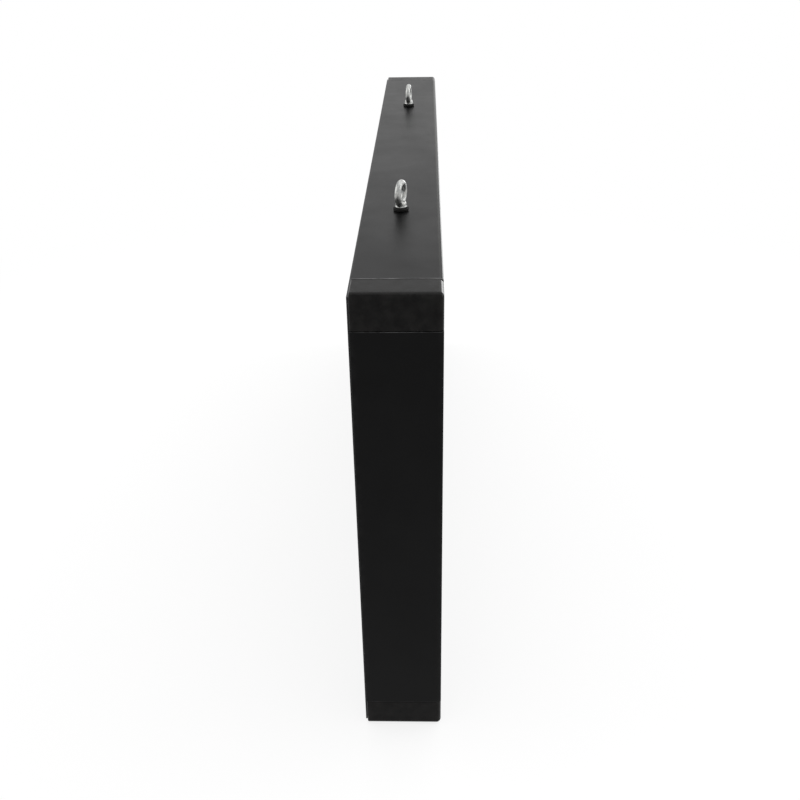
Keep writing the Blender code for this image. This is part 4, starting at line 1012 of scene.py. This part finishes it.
def makeBackSheet():
    low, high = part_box("back_sheet")
    v = backSheet
    sheetFront = high.y - v["thickness"]
    sheet = addBox("backSheetPanel", (low.x, sheetFront, low.z), high)
    cutLow, cutHigh = sheetFront - v["overrun"], high.y + v["overrun"]
    slot = addBox("vents", (-v["ventWidth"] / 2, cutLow, -v["ventHeight"] / 2),
                  (v["ventWidth"] / 2, cutHigh, v["ventHeight"] / 2))
    roundSome(slot, lambda at, way: abs(way.y) > square, v["ventWidth"] * v["ventRound"],
              v["ventSteps"])
    slots = []
    for along, up in ((-v["ventFromMiddle"], top - v["ventFromEdge"]),
                      (v["ventFromMiddle"], top - v["ventFromEdge"]),
                      (-v["ventFromMiddle"], v["ventFromEdge"])):
        for i in range(v["ventCount"]):
            shift = (i - (v["ventCount"] - 1) / 2) * v["ventPitch"]
            slots.append(copyTo(slot, "vent", (along + shift, 0, up)))
    bpy.data.objects.remove(slot, do_unlink=True)
    combine(sheet, joinPieces("vents", slots), "DIFFERENCE")
    for node, radius in (("gland_body", v["glandHole"]), ("aerial_connector", v["aerialHole"])):
        along, up = spanAlongY(node)[:2]
        hole = addRod("hole", radius, cutLow, cutHigh, (along, up), v["holeSides"])
        combine(sheet, hole, "DIFFERENCE")
    seats = [addRod("seat", v["seatRadius"], high.y - v["seatDepth"], cutHigh, place,
                    v["screwSides"]) for place in sheetScrewPlaces()]
    combine(sheet, joinPieces("seats", seats), "DIFFERENCE")
    soften(sheet, v["sheetEdge"], degrees=50)
    smooth(sheet, 30, True)
    dress(sheet, "sheetPaint", "sign", "back_sheet", "back_sheet")
    makeSheetScrews(high.y, sheetFront)


def makeSheetScrews(outer, inner):
    v = backSheet
    under = inner - outer
    rings = [(v["tip"], under - v["shankLength"]),
             (v["shank"], under - v["shankLength"] + v["tipLength"]), (v["shank"], under)]
    screw = turnPiece("screw", rings + list(v["headRings"]), v["screwSides"], tilt=backward)
    for size in ((v["crossLength"], v["crossWidth"]), (v["crossWidth"], v["crossLength"])):
        cross = addBox("cross", (-size[0] / 2, -v["crossDepth"], -size[1] / 2),
                       (size[0] / 2, v["headDome"], size[1] / 2))
        combine(screw, cross, "DIFFERENCE")
    copies = [copyTo(screw, "screw", (along, outer, up)) for along, up in sheetScrewPlaces()]
    bpy.data.objects.remove(screw, do_unlink=True)
    screws = joinPieces("backSheetScrews", copies)
    smooth(screws, 30)
    dress(screws, "zincPlate", "sign", "plain_washer")


makeBackSheet()
print("back sheet made")


# Cable gland

gland = {
    "edge": 0.0006, "ribs": 18, "ribDepth": 0.0006, "ribEdge": 0.0002, "bore": 0.0046,
    "mouth": 0.0055, "thread": 0.0060, "threadInner": 0.0054, "threadPitch": 0.0015,
    "crest": (0.4, 0.6), "hexGap": 0.0003, "hexSpan": 0.005, "hexChamfer": 0.8,
    "hexEdge": 0.0002, "clearance": 0.0003, "domeShoulder": 0.62, "domeSteps": 9,
    "mouthShares": (0.3, 0.4), "outermost": 0.97, "sides": 32, "chamferSides": 64,
}


def makeGland():
    x, z, low, high = spanAlongY("gland_body")
    v = gland
    span = v["hexSpan"]
    bodyLow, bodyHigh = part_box("gland_body")
    corner = max(bodyHigh.x - bodyLow.x, bodyHigh.z - bodyLow.z) / 2
    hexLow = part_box("back_sheet")[1].y + v["hexGap"]
    hexagon = addRod("glandHex", corner, hexLow, hexLow + span, (x, z), 6)
    flats = corner * math.cos(math.radians(30))
    chamfer = (corner - flats) * v["hexChamfer"]
    rings = [(corner + near, -near), (corner + near, span - chamfer), (flats, span),
             (flats / 2, span + near)]
    tool = turnPiece("chamfer", rings, v["chamferSides"], False, (x, hexLow, z), backward)
    combine(hexagon, tool, "INTERSECT")
    soften(hexagon, v["hexEdge"], degrees=40)
    rings = [(v["threadInner"], low)]
    up = low + v["edge"]
    while up < high - v["threadPitch"]:
        if not hexLow - v["threadPitch"] < up < hexLow + span:
            rings.append((v["threadInner"], up))
            rings += [(v["thread"], up + v["threadPitch"] * share) for share in v["crest"]]
        up += v["threadPitch"]
    rings += [(v["threadInner"], high), (v["bore"], high), (v["bore"], low)]
    thread = turnPiece("glandThread", rings, v["sides"], True, (x, 0, z), backward)
    hole = addRod("hole", v["bore"], hexLow - v["edge"], hexLow + 2 * span, (x, z), v["sides"])
    combine(hexagon, hole, "DIFFERENCE")
    body = joinPieces("glandBody", [hexagon, thread])
    smooth(body, 35)
    dress(body, "glandNylon", "sign", "gland_plastic", "gland_body")
    makeDomeNut(x, z)


def makeDomeNut(x, z):
    v = gland
    low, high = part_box("gland_dome_nut")
    outer = (high.x - low.x) / 2
    span = high.y - low.y
    inner = v["thread"] + v["clearance"]
    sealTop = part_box("gland_seal")[1].y - low.y + v["clearance"]
    shoulder = span * v["domeShoulder"]
    rings = [(inner, 0), (outer - v["edge"], 0), (outer, v["edge"]), (outer, shoulder)]
    rings += arcRings(v["mouth"] + v["edge"], outer, shoulder, span, v["domeSteps"],
                      range(1, v["domeSteps"]))
    across, down = (v["edge"] * share for share in v["mouthShares"])
    rings += [(v["mouth"] + across, span), (v["mouth"], span - down), (v["mouth"], sealTop),
              (inner, sealTop)]
    nut = turnPiece("domeNut", rings, 4 * v["ribs"], True)
    openEdit(nut)
    groove = math.radians(360 / v["ribs"])
    selectFaces(nut, lambda at, out: math.hypot(at.x, at.y) > outer * v["outermost"]
                and v["edge"] < at.z < shoulder
                and math.atan2(at.y, at.x) % groove < groove / 2)
    bpy.ops.mesh.inset(thickness=v["ribEdge"], depth=-v["ribDepth"], use_individual=False)
    closeEdit()
    nut.location = (x, low.y, z)
    nut.rotation_euler = backward
    bakePlace(nut)
    smooth(nut, 35)
    dress(nut, "glandNylon", "sign", "gland_plastic", "gland_dome_nut")


makeGland()
print("gland made")


# Aerial: swivel base with a fork, and the whip

aerial = {
    "edge": 0.0004, "barrel": 0.0052, "knurls": 20, "knurlDepth": 0.00025,
    "knurlEdge": 0.00012, "bandShares": (0.72, 0.80), "bore": 0.0035, "boreEnd": 0.0083,
    "outermost": 0.97, "pivotOut": 0.0055, "ear": 0.0042, "earThickness": 0.002,
    "earRoot": 0.001, "earRound": 0.98, "earEdge": 0.0003, "eyeEdge": 0.00025,
    "eyeOverlap": 0.0002, "tongue": 0.0040, "gap": 0.0004, "pin": 0.0013, "pinInset": 0.0002,
    "whipStart": 0.0056, "whip": 0.0042, "whipFoot": 0.7, "tip": 0.0034, "tipSteps": 8,
    "ringDepth": 0.0003, "ringShares": (0.16, 0.18), "taperFrom": 0.2,
    "taperShares": (0.3, 0.5, 0.7, 0.85, 1), "earSteps": 10, "boreSides": 32,
    "pinSides": 24, "whipSides": 40,
}


def makeAerial():
    v = aerial
    low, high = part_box("aerial_base")
    x, z = (low.x + high.x) / 2, (low.z + high.z) / 2
    whipLow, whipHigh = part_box("aerial_whip")
    pivot = whipLow.y + v["ear"]
    barrelHigh = pivot - v["pivotOut"]
    radius = v["barrel"]
    span = barrelHigh - low.y
    bandLow, bandHigh = (span * share for share in v["bandShares"])
    rings = [(radius - v["edge"], 0), (radius, v["edge"]),
             (radius, bandLow), (radius - v["edge"], bandLow + v["edge"]),
             (radius - v["edge"], bandHigh), (radius, bandHigh + v["edge"]),
             (radius, span - v["edge"]), (radius - v["edge"], span), (v["bore"] / 2, span)]
    barrel = turnPiece("barrel", rings, 4 * v["knurls"])
    openEdit(barrel)
    groove = math.radians(360 / v["knurls"])
    selectFaces(barrel, lambda at, out: math.hypot(at.x, at.y) > radius * v["outermost"]
                and v["edge"] < at.z < bandLow
                and math.atan2(at.y, at.x) % groove < groove / 2)
    bpy.ops.mesh.inset(thickness=v["knurlEdge"], depth=-v["knurlDepth"])
    closeEdit()
    bore = turnPiece("bore", [(v["bore"], -span), (v["bore"], v["boreEnd"])], v["boreSides"])
    combine(barrel, bore, "DIFFERENCE")
    barrel.location = (x, low.y, z)
    barrel.rotation_euler = backward
    bakePlace(barrel)
    parts = [barrel]
    across = v["tongue"] / 2 + v["gap"]
    for side in (-1, 1):
        inner, outer = side * across, side * (across + v["earThickness"])
        ear = addBox("ear", (x + min(inner, outer), barrelHigh - v["earRoot"], z - v["ear"]),
                     (x + max(inner, outer), pivot + v["ear"], z + v["ear"]))
        roundSome(ear, lambda at, way: abs(way.x) > square and at.y > pivot,
                  v["ear"] * v["earRound"], v["earSteps"])
        soften(ear, v["earEdge"], degrees=40)
        parts.append(ear)
    parts.append(addPin("pin", v["pin"], 2 * (across + v["earThickness"] - v["pinInset"]),
                        (x, pivot, z), v["pinSides"]))
    base = joinPieces("aerialBase", parts)
    smooth(base, 35)
    dress(base, "aerialPlastic", "aerial_base", "aerial_plastic", "aerial_base")
    makeWhip(x, pivot, z, whipHigh.z - z)


def makeWhip(x, pivot, z, reach):
    v = aerial
    ringLow, ringHigh = (reach * share for share in v["ringShares"])
    waist = v["whip"] - v["ringDepth"]
    rings = [(v["whip"] * v["whipFoot"], v["whipStart"]),
             (v["whip"] - v["edge"] / 2, v["whipStart"]),
             (v["whip"], v["whipStart"] + v["edge"]), (v["whip"], ringLow),
             (waist, ringLow + v["ringDepth"]), (waist, ringHigh),
             (v["whip"] - v["ringDepth"] / 2, ringHigh + v["ringDepth"])]
    body = reach - v["tip"]
    rings += [(v["whip"] + (v["tip"] - v["whip"]) * share,
               body * share + reach * v["taperFrom"] * (1 - share))
              for share in v["taperShares"]]
    rings += arcRings(0, v["tip"], body, body + v["tip"], v["tipSteps"],
                      range(1, v["tipSteps"]))
    whip = turnPiece("aerialWhip", rings, v["whipSides"], False, (x, pivot, z))
    eye = addBox("eye", (x - v["tongue"] / 2, pivot - v["ear"], z - v["ear"]),
                 (x + v["tongue"] / 2, pivot + v["ear"],
                  z + v["whipStart"] + v["eyeOverlap"]))
    roundSome(eye, lambda at, way: abs(way.x) > square and at.z < z,
              v["ear"] * v["earRound"], v["earSteps"])
    bore = addPin("eyeBore", v["pin"] + v["gap"], 3 * v["tongue"], (x, pivot, z),
                  v["boreSides"])
    combine(eye, bore, "DIFFERENCE")
    soften(eye, v["eyeEdge"], degrees=40)
    whip = joinPieces("aerialWhip", [whip, eye])
    smooth(whip, 35)
    dress(whip, "aerialPlastic", "aerial_whip", "aerial_plastic", "aerial_whip")


makeAerial()
print("aerial made")


# Finishes of the solids that stay as they are

keptFinish = {
    "board": "boardMask", "shell": "shellPlastic", "rail": "railSteel",
    "supply_tray": "caseAluminium", "supply_lid": "caseAluminium", "supply_board": "boardMask",
    "terminal_block": "connectorPlastic", "supply_transformer": "windingTape",
    "capacitor": "canSleeve", "control_card": "boardMask", "card_tray": "trayPlastic",
    "ribbon": "ribbonGrey", "power_lead": "leadSheath", "gland_lock_nut": "glandNylon",
    "gland_seal": "washerRubber", "aerial_connector": "goldPlate", "aerial_lead": "washerRubber",
}
for name, node in nodes.items():
    found = [finish for start, finish in keptFinish.items() if name.startswith(start)]
    if found:
        node.data.materials.clear()
        node.data.materials.append(paint[found[0]])
print("kept solids painted")
